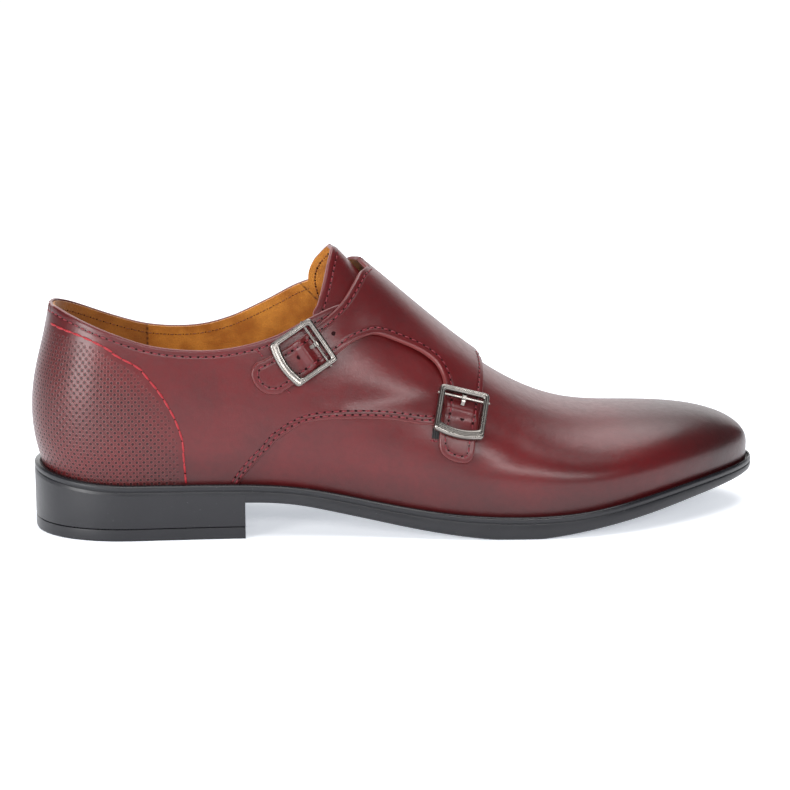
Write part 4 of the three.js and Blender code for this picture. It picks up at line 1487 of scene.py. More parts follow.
@dataclass
class Upper:
    """Vamp, the two quarters that lie over it, and their seams."""

    last: Last
    finishes: Finishes
    seams: Seams
    step: float = 0.9
    leather: float = 1.5
    vamp_from: float = 34.0
    underlap: float = 6.0
    foot_drop: float = 0.35
    topline_inset: float = 2.7
    foot_points: int = 150
    ridge_points: int = 16
    back_points: int = 90
    topline_sewn_from: float = -0.985
    counter_sewn_from: float = -0.97
    topline_sewn_to: float = 104.0
    edge_sewn_to: float = 134.0
    girdle_v: float = -0.7
    row_smoothing: int = 12
    far_from_edge: float = 20.0
    vamp_crowding: float = 1.9
    row_crowding: float = 1.05
    cover_back: float = 8.0
    vamp_wall: float = 1.0
    double_inset: Span = (1.5, 3.1)
    strap_tack: tuple[Span, ...] = ((46.8, 77.2), (49.4, 74.3))
    edge_tack: tuple[Span, ...] = ((57.8, 61.6), (59.9, 59.8))
    vamp_tack: tuple[Span, ...] = ((115.8, 40.5), (118.6, 40.0))
    creases: tuple[Crease, ...] = (
        Crease((84, 56.5), (116, 55.5), 0.55, 4.2),
        Crease((76, 50.5), (116, 50.0), -0.25, 3.5),
        Crease((66, 60), (74, 57), 0.20, 2.2),
        Crease((20, 30), (28, 66), 0.45, 9.0),
        Crease((134, 30), (150, 34), 0.35, 6.0),
    )

    def relief(self, points: Points) -> Points:
        """Sum of the listed troughs and ridges."""
        return sum(crease.height(points) for crease in self.creases)

    def quarter_height(self, uv: Points, points: Points) -> Points:
        """Height of the quarters' face above the last."""
        return self.step + self.relief(points)

    def quarter_top_line(self, side: Side) -> Points:
        """Topline on the chart, from the back seam to the throat."""
        uv = self.last.locate(curve_through(SIZES.side_view(TOPLINE[side]), 0.7), side, self.step)
        return uv[np.abs(uv[:, 1]) > RIDGE_GAP]

    def quarter_edge_line(self, side: Side) -> Points:
        """Front edge of a quarter on the chart, from the feather line to the ridge."""
        return two_sided_line(self.last, SIZES.side_view(QUARTER_EDGE), side, self.step)

    def quarter_outline(self, side: Side) -> tuple[Points, Points]:
        """Closed outline of a quarter: foot line, front edge, ridge, topline and back seam.

        Args:
            side: Which quarter.

        Returns:
            The outline on the chart, counter-clockwise from outside, and its free edges.
        """
        sign = side.sign
        edge = self.quarter_edge_line(side)
        top = self.quarter_top_line(side)[::-1]
        top = top[top[:, 0] > -1 + BACK_GAP]
        foot = np.linspace((-1, sign), (edge[0, 0], sign), self.foot_points)
        middle = sign * RIDGE_GAP / 2
        ridge = np.linspace((edge[-1, 0], middle), (top[0, 0], middle), self.ridge_points)
        back = np.linspace((-1, top[-1, 1]), (-1, sign), self.back_points)
        parts = [foot, edge, ridge, top, back]
        kinds = [False, True, False, True, True]
        uv = np.concatenate(parts)
        free = np.concatenate([np.full(len(p), k) for p, k in zip(parts, kinds, strict=True)])
        if side is Side.INNER:
            uv, free = uv[::-1], np.roll(free[::-1], -1)
        return clean_loop(uv, free, self.last)

    def build_quarter(self, side: Side) -> Piece:
        """Cuts one quarter and marks where the counter's punched field lies on it."""
        outline, free = self.quarter_outline(side)
        panel = CutPanel(
            self.last,
            outline,
            free,
            self.quarter_height,
            lambda uv, points: np.full(len(uv), self.step - self.leather),
            grain=1.15,
        )
        name = f"{side.name.lower()}_quarter"
        piece = panel.build(name, [self.finishes.counter])
        self.mark_counter(piece)
        return settle(piece, Material.UPPER, ["upper"])

    def mark_counter(self, piece: Piece) -> None:
        """Keeps at each point its distance inside the counter's seam and its way round the heel."""
        count = len(piece.data.vertices)
        points = np.empty(count * 3, np.float32)
        piece.data.vertices.foreach_get("co", points)
        flat = points.reshape(-1, 3)[:, [0, 2]] / MM
        line = curve_through(SIZES.side_view(COUNTER_SEAM), 1.0)
        gap = distance_to_line(flat, line[:-1], line[1:])
        order = np.argsort(line[:, 1])
        limit = np.interp(flat[:, 1], line[order, 1], line[order, 0])
        sign = np.where((flat[:, 0] < limit) & (flat[:, 1] < line[0, 1]), 1, -1)
        layer = piece.data.attributes.new("counter", "FLOAT", "POINT")
        layer.data.foreach_set("value", (gap * sign).astype(np.float32))
        u = np.linspace(-1, 1, 400)
        girdle = self.last.point(u, np.full(len(u), self.girdle_v))
        length = np.r_[0, np.cumsum(np.linalg.norm(np.diff(girdle, axis=0), axis=1))]
        power = self.last.roundness / 2
        behind = np.clip(-flat[:, 0] / self.last.back, 0, 2) ** power
        beside = np.abs(points.reshape(-1, 3)[:, 1] / MM / (PLAN[0][2] * SIZES.ball_width)) ** power
        turned = np.arctan2(behind, beside)
        station = np.where(flat[:, 0] < 0, -turned / (math.pi / 2), flat[:, 0] / self.last.tip)
        layer = piece.data.attributes.new("around", "FLOAT", "POINT")
        layer.data.foreach_set("value", np.interp(station, u, length).astype(np.float32))

    def build_vamp(self) -> Piece:
        """Vamp: a grid over the chart in front of the waist, without what the quarters cover.

        The stations crowd towards the tip by 1 - (1 - t)^vamp_crowding, and the first and last
        rows drop into the sole's channel.

        Returns:
            The closed vamp.
        """
        t = np.linspace(0, 1, 230)
        start = self.vamp_from / self.last.tip
        u = start + (1 - start) * (1 - (1 - t) ** self.vamp_crowding)
        row = np.linspace(0, 1, 72) ** self.row_crowding
        v = np.r_[-1, -1 + row[:-1], 1 - row[::-1], 1]
        u, v = np.meshgrid(u, v, indexing="ij")
        shape = u.shape
        u, v = u.ravel(), v.ravel()
        on = self.last.point(u, v)
        relief = self.relief(on) * smoothstep(0, 0.15, 1 - np.abs(v))
        points = on + self.last.normal(u, v) * relief[:, None]
        grid = points.reshape(*shape, 3)
        grid[:, [0, -1], 2] -= self.foot_drop
        faces = grid_faces(*shape)
        middle = on[faces].mean(1)
        edge = curve_through(SIZES.side_view(QUARTER_EDGE), 1.0)
        limit = np.interp(middle[:, 0], edge[:, 0], edge[:, 1]) + self.underlap
        covered = (middle[:, 0] < edge[-1, 0] - self.cover_back) & (middle[:, 2] > limit)
        piece = make_object(
            "vamp",
            grid.reshape(-1, 3),
            [faces[~covered]],
            [self.finishes.leather],
            values={"edge": np.full(len(points), self.far_from_edge)},
        )
        weld(piece)
        work = bmesh.new()
        work.from_mesh(piece.data)
        loose = [vert for vert in work.verts if not vert.link_faces]
        bmesh.ops.delete(work, geom=loose, context="VERTS")
        work.to_mesh(piece.data)
        work.free()
        wall = piece.modifiers.new("wall", "SOLIDIFY")
        wall.thickness = self.vamp_wall * MM
        wall.offset = -1
        return settle(piece, Material.UPPER, ["upper"])

    def sew(self) -> None:
        """Lays the topline row, the quarters' double row, the counter's red row and the tacks."""
        plain = ThreadSize()
        for side in Side:
            turn = -side.sign
            top = self.quarter_top_line(side)
            top = top[top[:, 0] > self.topline_sewn_from]
            top = top[top[:, 0] * self.last.tip < self.topline_sewn_to]
            row = self.last.inset(top, -turn * self.topline_inset, False)
            self.seams.add("wine", Seam(self.last, row, self.quarter_height, plain))
            edge = self.quarter_edge_line(side)
            edge = edge[edge[:, 0] * self.last.tip < self.edge_sewn_to]
            for inset in self.double_inset:
                row = smoothed(self.last.inset(edge, turn * inset, False), self.row_smoothing)
                self.seams.add("wine", Seam(self.last, row, self.quarter_height, plain))
            counter = self.last.locate(curve_through(SIZES.side_view(COUNTER_SEAM), 0.8), side, self.step)
            counter = counter[counter[:, 0] > self.counter_sewn_from]
            thick = ThreadSize(pitch=4.5, length=4.9, width=0.95, stand=0.5, hole=0.5)
            self.seams.add("red", Seam(self.last, counter, self.quarter_height, thick))
        tack = ThreadSize(pitch=1.3, length=1.5, width=0.6, stand=0.3, hole=0.4)
        for ends in (self.strap_tack, self.edge_tack):
            line = self.last.locate(np.linspace(*ends, 8), Side.OUTER)
            self.seams.add("wine", Seam(self.last, line, self.quarter_height, tack))
        line = self.last.locate(np.linspace(*self.vamp_tack, 8), Side.OUTER)
        self.seams.add("wine", Seam(self.last, line, lambda uv, points: self.relief(points), tack))

    def build(self) -> None:
        """Builds the leather of the upper."""
        self.build_vamp()
        for side in Side:
            self.build_quarter(side)
        self.sew()


@dataclass
class Lining:
    """Suede lining of the quarters and the vamp, and the insole's sock."""

    last: Last
    finishes: Finishes
    seams: Seams
    depth: float = 1.6
    thickness: float = 0.9
    below_edge: float = 0.5
    stitch_inset: float = 3.4
    insole_inset: float = 3.4
    insole_height: float = 2.5
    insole_underside: float = 0.3
    dish: float = 1.2
    dish_from: float = 20.0
    tip_share: float = 0.968
    back_from: float = -0.96
    closed_from: float = 117.0
    sewn_to: float = 96.0
    merge: float = 0.02

    def top_of(self, side: Side) -> tuple[Points, Points]:
        """Stations and chart heights of the lining's upper edge.

        Args:
            side: Which side.

        Returns:
            Rising stations and the chart's v there.
        """
        line = curve_through(SIZES.side_view(TOPLINE[side]), 0.7)
        line[:, 1] -= self.below_edge
        uv = self.last.locate(line, side, -self.depth / 2)
        uv = uv[np.argsort(uv[:, 0])]
        keep = np.r_[True, np.diff(uv[:, 0]) > 1e-5] & (uv[:, 0] > self.back_from)
        return uv[keep, 0], uv[keep, 1]

    def build_wall(self) -> Piece:
        """Lining wall: the last's surface set in, from the feather line to the topline.

        Each station's rows run evenly from v = -1 to the outer edge and from the inner edge to
        v = 1, and meet on the ridge where the shoe is closed.

        Returns:
            The closed lining.
        """
        u = np.r_[np.linspace(-1, 0, 44)[:-1], self.tip_share * (1 - (1 - np.linspace(0, 1, 120)) ** 1.3)]
        w = np.linspace(0, 1, 34)
        halves = []
        for side in Side:
            stations, heights = self.top_of(side)
            sign = side.sign
            top = np.interp(u, stations, heights, right=0.0)
            top = np.where(u * self.last.tip > self.closed_from, 0, top)
            halves.append(sign + (top[:, None] - sign) * w[None])
        v = np.concatenate([halves[0], halves[1][:, ::-1]], axis=1)
        u = np.repeat(u[:, None], v.shape[1], axis=1)
        shape = u.shape
        on = self.last.point(u.ravel(), v.ravel())
        out = self.last.normal(u.ravel(), v.ravel())
        skins = []
        for depth in (self.depth - self.thickness, self.depth):
            skin = (on - out * depth).reshape(*shape, 3)
            skin[-1] = skin[-1].mean(0)
            skins.append(skin.reshape(-1, 3))
        half = len(w)
        left = grid_faces(shape[0], half)
        index = np.arange(shape[0] * shape[1]).reshape(shape)
        outer = index[:, :half].ravel()[left]
        inner = index[:, half:].ravel()[left]
        count = len(on)
        outside = np.concatenate([outer, inner])
        columns = ((0, False), (half - 1, True), (half, False), (shape[1] - 1, True))
        rims = [rim_faces(index[:, column], count, flip) for column, flip in columns]
        piece = make_object(
            "lining",
            np.concatenate(skins),
            [outside, outside[:, ::-1] + count, np.concatenate(rims)],
            [self.finishes.suede],
        )
        return settle(weld(piece, self.merge), Material.INSOLE)

    def build_insole(self) -> Piece:
        """Sock on the insole: rows from the outer to the inner wall, dished along its edge."""
        u = np.r_[np.linspace(-1, 0, 36)[:-1], 1 - (1 - np.linspace(0, 1, 110)) ** 1.6]
        c = self.last.column
        share = np.maximum(u, 0)
        feet = [self.last.point(u, np.full(len(u), s)) for s in (-1.0, 1.0)]
        middle = c["middle"](share)
        narrow = 1 - self.insole_inset / c["half"](share)
        reach = np.where(u < 0, self.last.back, self.last.tip)
        w = np.linspace(0, 1, 25)
        low, high = (middle + (foot[:, 1] - middle) * narrow for foot in feet)
        y = low[:, None] + (high - low)[:, None] * w
        x = np.repeat((feet[0][:, 0] * (1 - self.insole_inset / reach))[:, None], 25, axis=1)
        dish = self.dish * np.abs(2 * w - 1) ** 4
        floor = feet[0][:, 2:3]
        z = floor + self.insole_height + dish[None] * np.minimum(1, (high - low) / self.dish_from)[:, None]
        top = np.stack([x, y, z], axis=-1).reshape(-1, 3)
        under = np.repeat(floor + self.insole_underside, 25, axis=1)
        bottom = np.stack([x, y, under], axis=-1).reshape(-1, 3)
        faces = grid_faces(len(u), 25)
        count = len(top)
        index = np.arange(count).reshape(len(u), 25)
        lines = ((index[:, 0], False), (index[:, -1], True), (index[0], True), (index[-1], False))
        rims = [rim_faces(line, count, flip) for line, flip in lines]
        piece = make_object(
            "insole_sock",
            np.concatenate([top, bottom]),
            [faces, faces[:, ::-1] + count, np.concatenate(rims)],
            [self.finishes.suede],
        )
        return settle(weld(piece, self.merge), Material.INSOLE, ["insole"])

    def sew(self) -> None:
        """Lays the stitches that show inside the collar."""
        for side in Side:
            turn = -side.sign
            stations, heights = self.top_of(side)
            keep = stations * self.last.tip < self.sewn_to
            row = np.stack([stations[keep], heights[keep]], axis=1)
            row = self.last.inset(row, -turn * self.stitch_inset, False)
            size = ThreadSize(pitch=3.1, length=2.0, width=0.5, stand=0.25, hole=0.34)
            inside = Seam(self.last, row, lambda uv, p: np.full(len(uv), -self.depth), size, -1.0)
            self.seams.add("tan", inside)

    def build(self) -> None:
        """Builds the lining and the insole's sock."""
        self.build_wall()
        self.build_insole()
        self.sew()


@dataclass
class Tongue:
    """Tongue under the quarters, standing up at its free end."""

    last: Last
    finishes: Finishes
    seams: Seams
    base: float = -1.9
    thickness: float = 1.6
    flare: float = 2.6
    flare_from: float = 96.0
    flare_length: float = 18.0
    flare_rows: Span = (0.8, 0.98)
    sewn_to: float = 92.0
    stitch_inset: float = 2.9

    def face(self, uv: Points, points: Points) -> Points:
        """Height of the face: the base plus a flare towards the free end and the ridge."""
        along = smoothstep(0, self.flare_length, self.flare_from - uv[:, 0] * self.last.tip)
        across = smoothstep(*self.flare_rows, 1 - np.abs(uv[:, 1]))
        return self.base + self.flare * along * across

    def rear_line(self, side: Side) -> Points:
        """Rear edge of the tongue on the chart, from the ridge down."""
        return two_sided_line(self.last, SIZES.side_view(TONGUE[side]), side, self.base)

    def build(self) -> None:
        """Cuts the tongue in leather with a suede back, and sews its edge."""
        outer, inner = self.rear_line(Side.OUTER), self.rear_line(Side.INNER)
        uv = np.concatenate([outer, inner[::-1]])
        outline, free = clean_loop(uv, np.ones(len(uv), bool), self.last)
        panel = CutPanel(
            self.last,
            outline,
            free,
            self.face,
            lambda places, points: self.face(places, points) - self.thickness,
            grain=1.1,
            round_width=0.6,
        )
        piece = panel.build("tongue_leather", [self.finishes.leather, self.finishes.suede], back_slot=1)
        settle(piece, Material.TONGUE, ["tongue"])
        size = ThreadSize()
        for side in Side:
            turn = -side.sign
            line = self.rear_line(side)
            line = line[line[:, 0] * self.last.tip < self.sewn_to]
            row = self.last.inset(line, turn * self.stitch_inset, False)
            self.seams.add("wine", Seam(self.last, row, self.face, size))
            back = Seam(self.last, row, lambda p, q: self.face(p, q) - self.thickness, size, -1.0)
            self.seams.add("tan", back)


def two_sided_line(last: Last, points: Sequence[Sequence[float]], side: Side, height: float) -> Points:
    """Side-view line on the chart without what would lie beyond the ridge or the feather line.

    Args:
        last: The last.
        points: Side-view points.
        side: Which side.
        height: Height of the line above the last.

    Returns:
        The line on the chart.
    """
    uv = last.locate(curve_through(points, 0.6), side, height)
    away = np.abs(uv[:, 1])
    return uv[(away > RIDGE_GAP) & (away < 1 - FEATHER_GAP)]


@dataclass
class InstepFlap:
    """Flap over the instep with its two strap ends."""

    last: Last
    finishes: Finishes
    seams: Seams
    lift: float = 1.2
    thickness: float = 2.0
    stitch_inset: float = 2.4
    hole_radius: float = 0.95
    hole_dish: float = 0.05
    hole_lift: float = 0.03
    fold_rise: float = 1.5
    fold_length: float = 1.9
    fold_fade: Span = (5.5, 8.5)
    arch_lift: float = 1.0
    arch_reach: float = 6.0
    fold_at: tuple[tuple[Strap, float], ...] = ((UPPER_STRAP, -0.11), (LOWER_STRAP, -0.20))

    def outer_lines(self) -> list[Points]:
        """Cut lines of the outer side on the chart: rear, straps with arch, and front."""
        height = self.lift + self.thickness
        upper, lower = (strap.on_strap(strap.tip) for strap in (UPPER_STRAP, LOWER_STRAP))
        rear, arch, front = (SIZES.side_view(rows) for rows in (FLAP_REAR, FLAP_ARCH, FLAP_FRONT))
        lines = (
            np.concatenate([rear, upper[:1]]),
            upper,
            np.concatenate([upper[-1:], arch, lower[:1]]),
            lower,
            np.concatenate([lower[-1:], front]),
        )
        return [two_sided_line(self.last, line, Side.OUTER, height) for line in lines]

    def face(self, uv: Points, points: Points) -> Points:
        """Height of the face: flat, folded across each strap, and lifted along the arch.

        The fold is a bell, fold_rise * exp(-(along / fold_length)^2), that fades across the strap.
        """
        height = np.full(len(uv), self.lift + self.thickness)
        out = self.last.normal(uv[:, 0], uv[:, 1]) * (self.lift + self.thickness)
        flat = (points + out)[:, [0, 2]]
        for strap, at in self.fold_at:
            gap = flat - strap.on_strap([(at, 0.0)])
            ahead = strap.ahead()
            along = gap @ ahead
            across = gap @ np.array([ahead[1], -ahead[0]])
            fade = (1 - smoothstep(*self.fold_fade, np.abs(across))) * (points[:, 1] < 0)
            height = height + self.fold_rise * np.exp(-((along / self.fold_length) ** 2)) * fade
        arch = SIZES.side_view(FLAP_ARCH[1:-1])
        gap = distance_to_line(flat, arch[:-1], arch[1:])
        lift = self.arch_lift * np.exp(-((gap / self.arch_reach) ** 2))
        return height + lift * (points[:, 1] < 0)

    def back(self, uv: Points, points: Points) -> Points:
        """Height of the back, which follows the face."""
        return self.face(uv, points) - self.thickness

    def build(self) -> None:
        """Cuts the flap, sews round it and sets the punched holes."""
        lines = self.outer_lines()
        inner = two_sided_line(
            self.last, SIZES.side_view(FLAP_INNER), Side.INNER, self.lift + self.thickness
        )
        outer = np.concatenate(lines)
        uv = np.concatenate([outer, inner[::-1]])
        outline, free = clean_loop(uv, np.ones(len(uv), bool), self.last)
        panel = CutPanel(
            self.last, outline, free, self.face, self.back, grain=1.0, round_width=0.75, round_depth=0.7
        )
        piece = panel.build("flap_leather", [self.finishes.leather, self.finishes.suede], back_slot=1)
        settle(piece, Material.FLAP, ["strap_flap"])
        size = ThreadSize()
        sewn = self.last.inset(outer, self.stitch_inset, False)
        self.seams.add("wine", Seam(self.last, even_chart(self.last, sewn), self.face, size))
        row = self.last.inset(inner, -self.stitch_inset, False)
        self.seams.add("wine", Seam(self.last, even_chart(self.last, row), self.face, size))
        self.build_holes()

    def build_holes(self) -> None:
        """Dished discs, dark with painted shade, where the straps are punched."""
        r = np.array([0.02, 0.7, 1.0])
        a = np.linspace(0, 2 * math.pi, 20, endpoint=False)
        r, a = np.meshgrid(r, a, indexing="ij")
        x, y = self.hole_radius * r * np.cos(a), self.hole_radius * r * np.sin(a)
        disc = np.stack([x, y, self.hole_dish * (1 - r**2)], axis=-1).reshape(-1, 3)
        places = np.concatenate([strap.on_strap(strap.holes) for strap in (UPPER_STRAP, LOWER_STRAP)])
        uv = self.last.locate(places, Side.OUTER, self.lift + self.thickness)
        on = self.last.point(uv[:, 0], uv[:, 1])
        out = self.last.normal(uv[:, 0], uv[:, 1])
        origin = on + out * (self.face(uv, on) + self.hole_lift)[:, None]
        along = unit(np.cross(out, np.array([0.0, 1.0, 0.0])))
        frame = np.stack([along, np.cross(out, along), out], axis=1)
        points, faces = repeated(disc, grid_faces(3, 20, loop_columns=True), frame, origin)
        # The strap holes are dark discs of painted shade.
        settle(make_object("strap_holes", points, [faces], [self.finishes.hole_shade], crease_deg=80))


def even_chart(last: Last, uv: Points, step: float = 0.6) -> Points:
    """Chart line resampled at even steps of length on the shoe.

    The chart's columns ride along with the points, made so small that they add no length.
    """
    small = 1e-6
    on = last.point(uv[:, 0], uv[:, 1])
    both = even_steps(np.concatenate([on, uv * small], axis=1), step)
    return both[:, 3:] / small


@dataclass
class Buckle:
    """Cast frame of a buckle on its strap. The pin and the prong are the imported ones."""

    last: Last
    finishes: Finishes
    strap: Strap
    stand: float = 3.5
    long: float = 20.0
    across: float = 20.6
    thick: float = 2.8
    side_bar: float = 2.2
    front_bar: float = 3.6
    bow: float = 1.3
    corner: float = 1.6
    small_step: float = 0.002

    def seat(self) -> tuple[Points, Points]:
        """Origin and axes on the strap: along it to its tip, across it, and out of it."""
        share = self.strap.at
        middle = SIZES.side_view([(share, self.strap.up)])[0]
        rows = np.arange(self.last.low_share, 1.0, self.small_step)
        side = np.full(len(rows), -1.0)
        heights = self.last.section(np.full(len(rows), share), rows, side)[:, 2]
        row = rows[np.argmax(heights >= middle[1])]
        near = self.small_step * np.array([[0, 1, -1, 0, 0], [0, 0, 0, 1, -1]])
        places, levels = share + near[0], row + near[1]
        p = self.last.section(places, levels, np.full(5, -1.0))
        normal = unit(np.cross(p[1] - p[2], p[3] - p[4]))
        ahead = np.insert(self.strap.ahead(), 1, 0.0)
        ahead = unit(ahead - ahead.dot(normal) * normal)
        return p[0] + normal * self.stand, np.stack([ahead, np.cross(normal, ahead), normal])

    def loop(self, rear: float, front: float, half: float, corner: float) -> Points:
        """Rectangle with round corners and a bowed front, as a loop with fixed counts a side.

        Args:
            rear: x of the rear edge.
            front: x of the front edge at the sides.
            half: Half of its size across.
            corner: Corner radius.

        Returns:
            Loop of x and y.
        """
        turn = np.linspace(0, math.pi / 2, 9)[1:-1]
        c, s = np.cos(turn) * corner, np.sin(turn) * corner
        even = np.linspace(-1, 1, 9)
        wide = np.linspace(-1, 1, 21)
        inner = half - corner
        run = even * (front - rear - 2 * corner) / 2
        middle = (front + rear) / 2
        pieces = [
            (front + self.bow * (1 - wide**2), wide * inner),
            (front - corner + c, inner + s),
            (middle - run, np.full(9, half)),
            (rear + corner - s, inner + c),
            (np.full(9, rear), -even * inner),
            (rear + corner - c, -inner - s),
            (middle + run, np.full(9, -half)),
            (front - corner + s, -inner - c),
        ]
        return np.concatenate([np.stack(piece, axis=1) for piece in pieces])

    def build(self) -> None:
        """Carries a chamfered section round between the inner and the outer loop.

        Rows of the section hold the share of the way from the inner to the outer loop and the
        height above the seat.
        """
        outer = self.loop(-self.long / 2, self.long / 2, self.across / 2, self.corner)
        inner = self.loop(
            -self.long / 2 + self.side_bar,
            self.long / 2 - self.front_bar,
            self.across / 2 - self.side_bar,
            self.corner / 2,
        )
        t = self.thick
        profile = np.array(
            [
                (0.0, 0.5), (0.0, t - 0.75), (0.05, t - 0.42), (0.17, t - 0.12), (0.3, t - 0.02),
                (0.42, t - 0.16), (0.58, t - 0.16), (0.7, t - 0.02), (0.83, t - 0.12),
                (0.95, t - 0.42), (1.0, t - 0.75), (1.0, 0.5), (0.88, 0.12), (0.7, 0.0), (0.3, 0.0),
                (0.12, 0.12),
            ]
        )
        share, level = profile[:, 0], profile[:, 1]
        flat = inner[:, None] + (outer - inner)[:, None] * share[None, :, None]
        local = np.concatenate([flat, np.broadcast_to(level[None, :, None], (*flat.shape[:2], 1))], axis=2)
        origin, axes = self.seat()
        points = local.reshape(-1, 3) @ axes + origin
        faces = grid_faces(len(outer), len(profile), loop_rows=True, loop_columns=True)
        name = f"{self.strap.name}_frame"
        piece = make_object(name, points, [faces], [self.finishes.metal], crease_deg=34)
        settle(piece, None, [f"{self.strap.name}_buckle_frame"])


@dataclass
class SoleUnit:
    """Moulded outsole with its lip, channel and groove, the heel block and the top lift."""

    last: Last
    finishes: Finishes
    breast: float = 41.4
    top_lift: float = 5.0
    fit: float = 0.3
    channel: float = 1.2
    bevel: float = 0.5
    crowding: float = 1.9
    merge: float = 0.004
    sharp_deg: float = 32.0

    def stations(self) -> Points:
        """Stations from the back of the heel to the tip, crowded towards both ends."""
        turn = -np.cos(np.linspace(0, math.pi / 2, 46)[:-1])
        return np.r_[turn, 1 - (1 - np.linspace(0, 1, 190)) ** self.crowding]

    def heel_stations(self) -> Points:
        """Stations from the back of the heel to its breast."""
        u = self.stations()
        breast = self.breast / self.last.tip
        return np.r_[u[u < breast], breast]

    def ring(self, u: Points, share: float, plus: float, height: HeightOf) -> Points:
        """Loop round the foot: feather line set out by share * edge + plus, at its own height.

        Args:
            u: Stations.
            share: Share of the sole edge.
            plus: Amount beyond it.
            height: Height from the feather line's height and x.

        Returns:
            Points from the back round the outer side to the tip and back on the inner side.
        """
        lines = []
        out = share * self.last.column["edge"](np.maximum(u, 0)) + plus
        for side in (-1.0, 1.0):
            v = np.full(len(u), side)
            foot = self.last.point(u, v)
            normal = self.last.normal(u, v)
            normal[:, 2] = 0
            foot = foot + unit(normal) * out[:, None]
            foot[:, 2] = height(foot[:, 2], foot[:, 0])
            lines.append(foot)
        return np.concatenate([lines[0], lines[1][::-1]])

    def solid(self, rings: Sequence[Points], lips: Sequence[float]) -> tuple[Points, list[Points], Points]:
        """Closed body from rings going down, its top and bottom closed across.

        Args:
            rings: Rings from the top down.
            lips: How glossy each ring is.

        Returns:
            Points, arrays of faces and the gloss of each point.
        """
        size = len(rings[0])
        half = size // 2
        wall = grid_faces(len(rings), size, loop_columns=True)
        i = np.arange(half - 1)
        top = np.stack([i, i + 1, size - 2 - i, size - 1 - i], axis=1)
        base = (len(rings) - 1) * size
        bottom = top[:, ::-1] + base
        gloss = np.repeat(np.asarray(lips, float), size)
        return np.concatenate(rings), [wall, top, bottom], gloss

    def build_outsole(self) -> Piece:
        """Outsole and heel block as one moulded piece.

        Rows of the side hold the share of the sole edge, the amount beyond it, the height above
        the feather line and the gloss. Rows of the low part hold the amount beyond the edge and
        the height above the underside.
        """
        u = self.stations()
        side = [
            (0.0, self.channel, -self.fit, 1.0), (0.0, self.channel, 0.9, 1.0),
            (0.10, self.channel * 0.9, 1.22, 1.0), (0.28, self.channel * 0.7, 1.42, 0.9),
            (0.50, self.channel * 0.5, 1.50, 0.8), (0.72, self.channel * 0.22, 1.42, 0.6),
            (0.90, -0.08, 1.18, 0.4), (1.0, -0.08, 0.75, 0.2), (1.0, 0.0, 0.2, 0.0),
            (1.0, -0.04, -0.55, 0.0), (1.0, -0.16, -0.75, 0.1), (1.0, -0.32, -0.92, 0.2),
            (1.0, -0.32, -1.12, 0.2), (1.0, -0.16, -1.3, 0.1), (1.0, -0.04, -1.55, 0.0),
        ]
        low = [(-0.08, 1.7), (-0.14, 1.1), (-0.45, 0.5), (-0.9, 0.15), (-1.6, 0.0)]
        rings = [self.ring(u, s, p, lambda z, x, up=up: z + up) for s, p, up, _ in side]
        under = self.last.underside
        rings += [self.ring(u, 1.0, p, lambda z, x, up=up: np.maximum(under(x), 0) + up) for p, up in low]
        points, faces, gloss = self.solid(rings, [row[3] for row in side] + [0.0] * len(low))
        heel_u = self.heel_stations()
        block = [
            self.ring(heel_u, 1.0, 0.0, lambda z, x: z - 2.75),
            self.ring(heel_u, 1.0, 0.0, lambda z, x: z - 6.0),
            self.ring(heel_u, 1.0, 0.0, lambda z, x: np.full(len(z), self.top_lift + 1.0)),
            self.ring(heel_u, 1.0, -0.05, lambda z, x: np.full(len(z), self.top_lift + 0.35)),
            self.ring(heel_u, 1.0, -0.35, lambda z, x: np.full(len(z), self.top_lift + self.fit / 2)),
        ]
        heel_points, heel_faces, heel_gloss = self.solid(block, [0, 0, 0, 0.1, 0.3])
        shift = len(points)
        half = len(heel_u)
        first = np.arange(len(block) - 1) * 2 * half
        breast = np.stack([first + half - 1, first + 3 * half - 1, first + 3 * half, first + half], axis=1)
        heel_faces[0] = heel_faces[0][~np.isin(heel_faces[0], breast).all(1)]
        piece = make_object(
            "outsole",
            np.concatenate([points, heel_points]),
            faces + [f + shift for f in (*heel_faces, breast)],
            [self.finishes.rubber],
            values={"lip": np.r_[gloss, heel_gloss]},
            crease_deg=self.sharp_deg,
        )
        return settle(weld(piece, self.merge), Material.SOLE, ["sole_unit"])

    def build_top_lift(self) -> Piece:
        """Ground layer of the heel."""
        u = self.heel_stations()
        levels = [
            (-0.3, self.top_lift), (-0.05, self.top_lift - 0.2), (0.0, self.top_lift - 0.6),
            (0.0, 1.2), (-0.05, self.bevel), (-0.25, 0.12), (-0.6, 0.0),
        ]
        rings = [self.ring(u, 1.0, p, lambda z, x, at=at: np.full(len(z), at)) for p, at in levels]
        points, faces, gloss = self.solid(rings, [0.3] + [0.0] * (len(levels) - 1))
        piece = make_object(
            "top_lift",
            points,
            faces,
            [self.finishes.rubber],
            values={"lip": gloss},
            crease_deg=self.sharp_deg,
        )
        return settle(weld(piece, self.merge), Material.TOP_LIFT, ["heel_top_lift"])

    def build(self) -> None:
        """Builds the sole unit and its top lift."""
        self.build_outsole()
        self.build_top_lift()


@dataclass(frozen=True)
class SoftLight:
    """Rectangular soft light: its place and its size in metres, and its power in watts."""

    name: str
    at: Place
    size: Span
    power: float


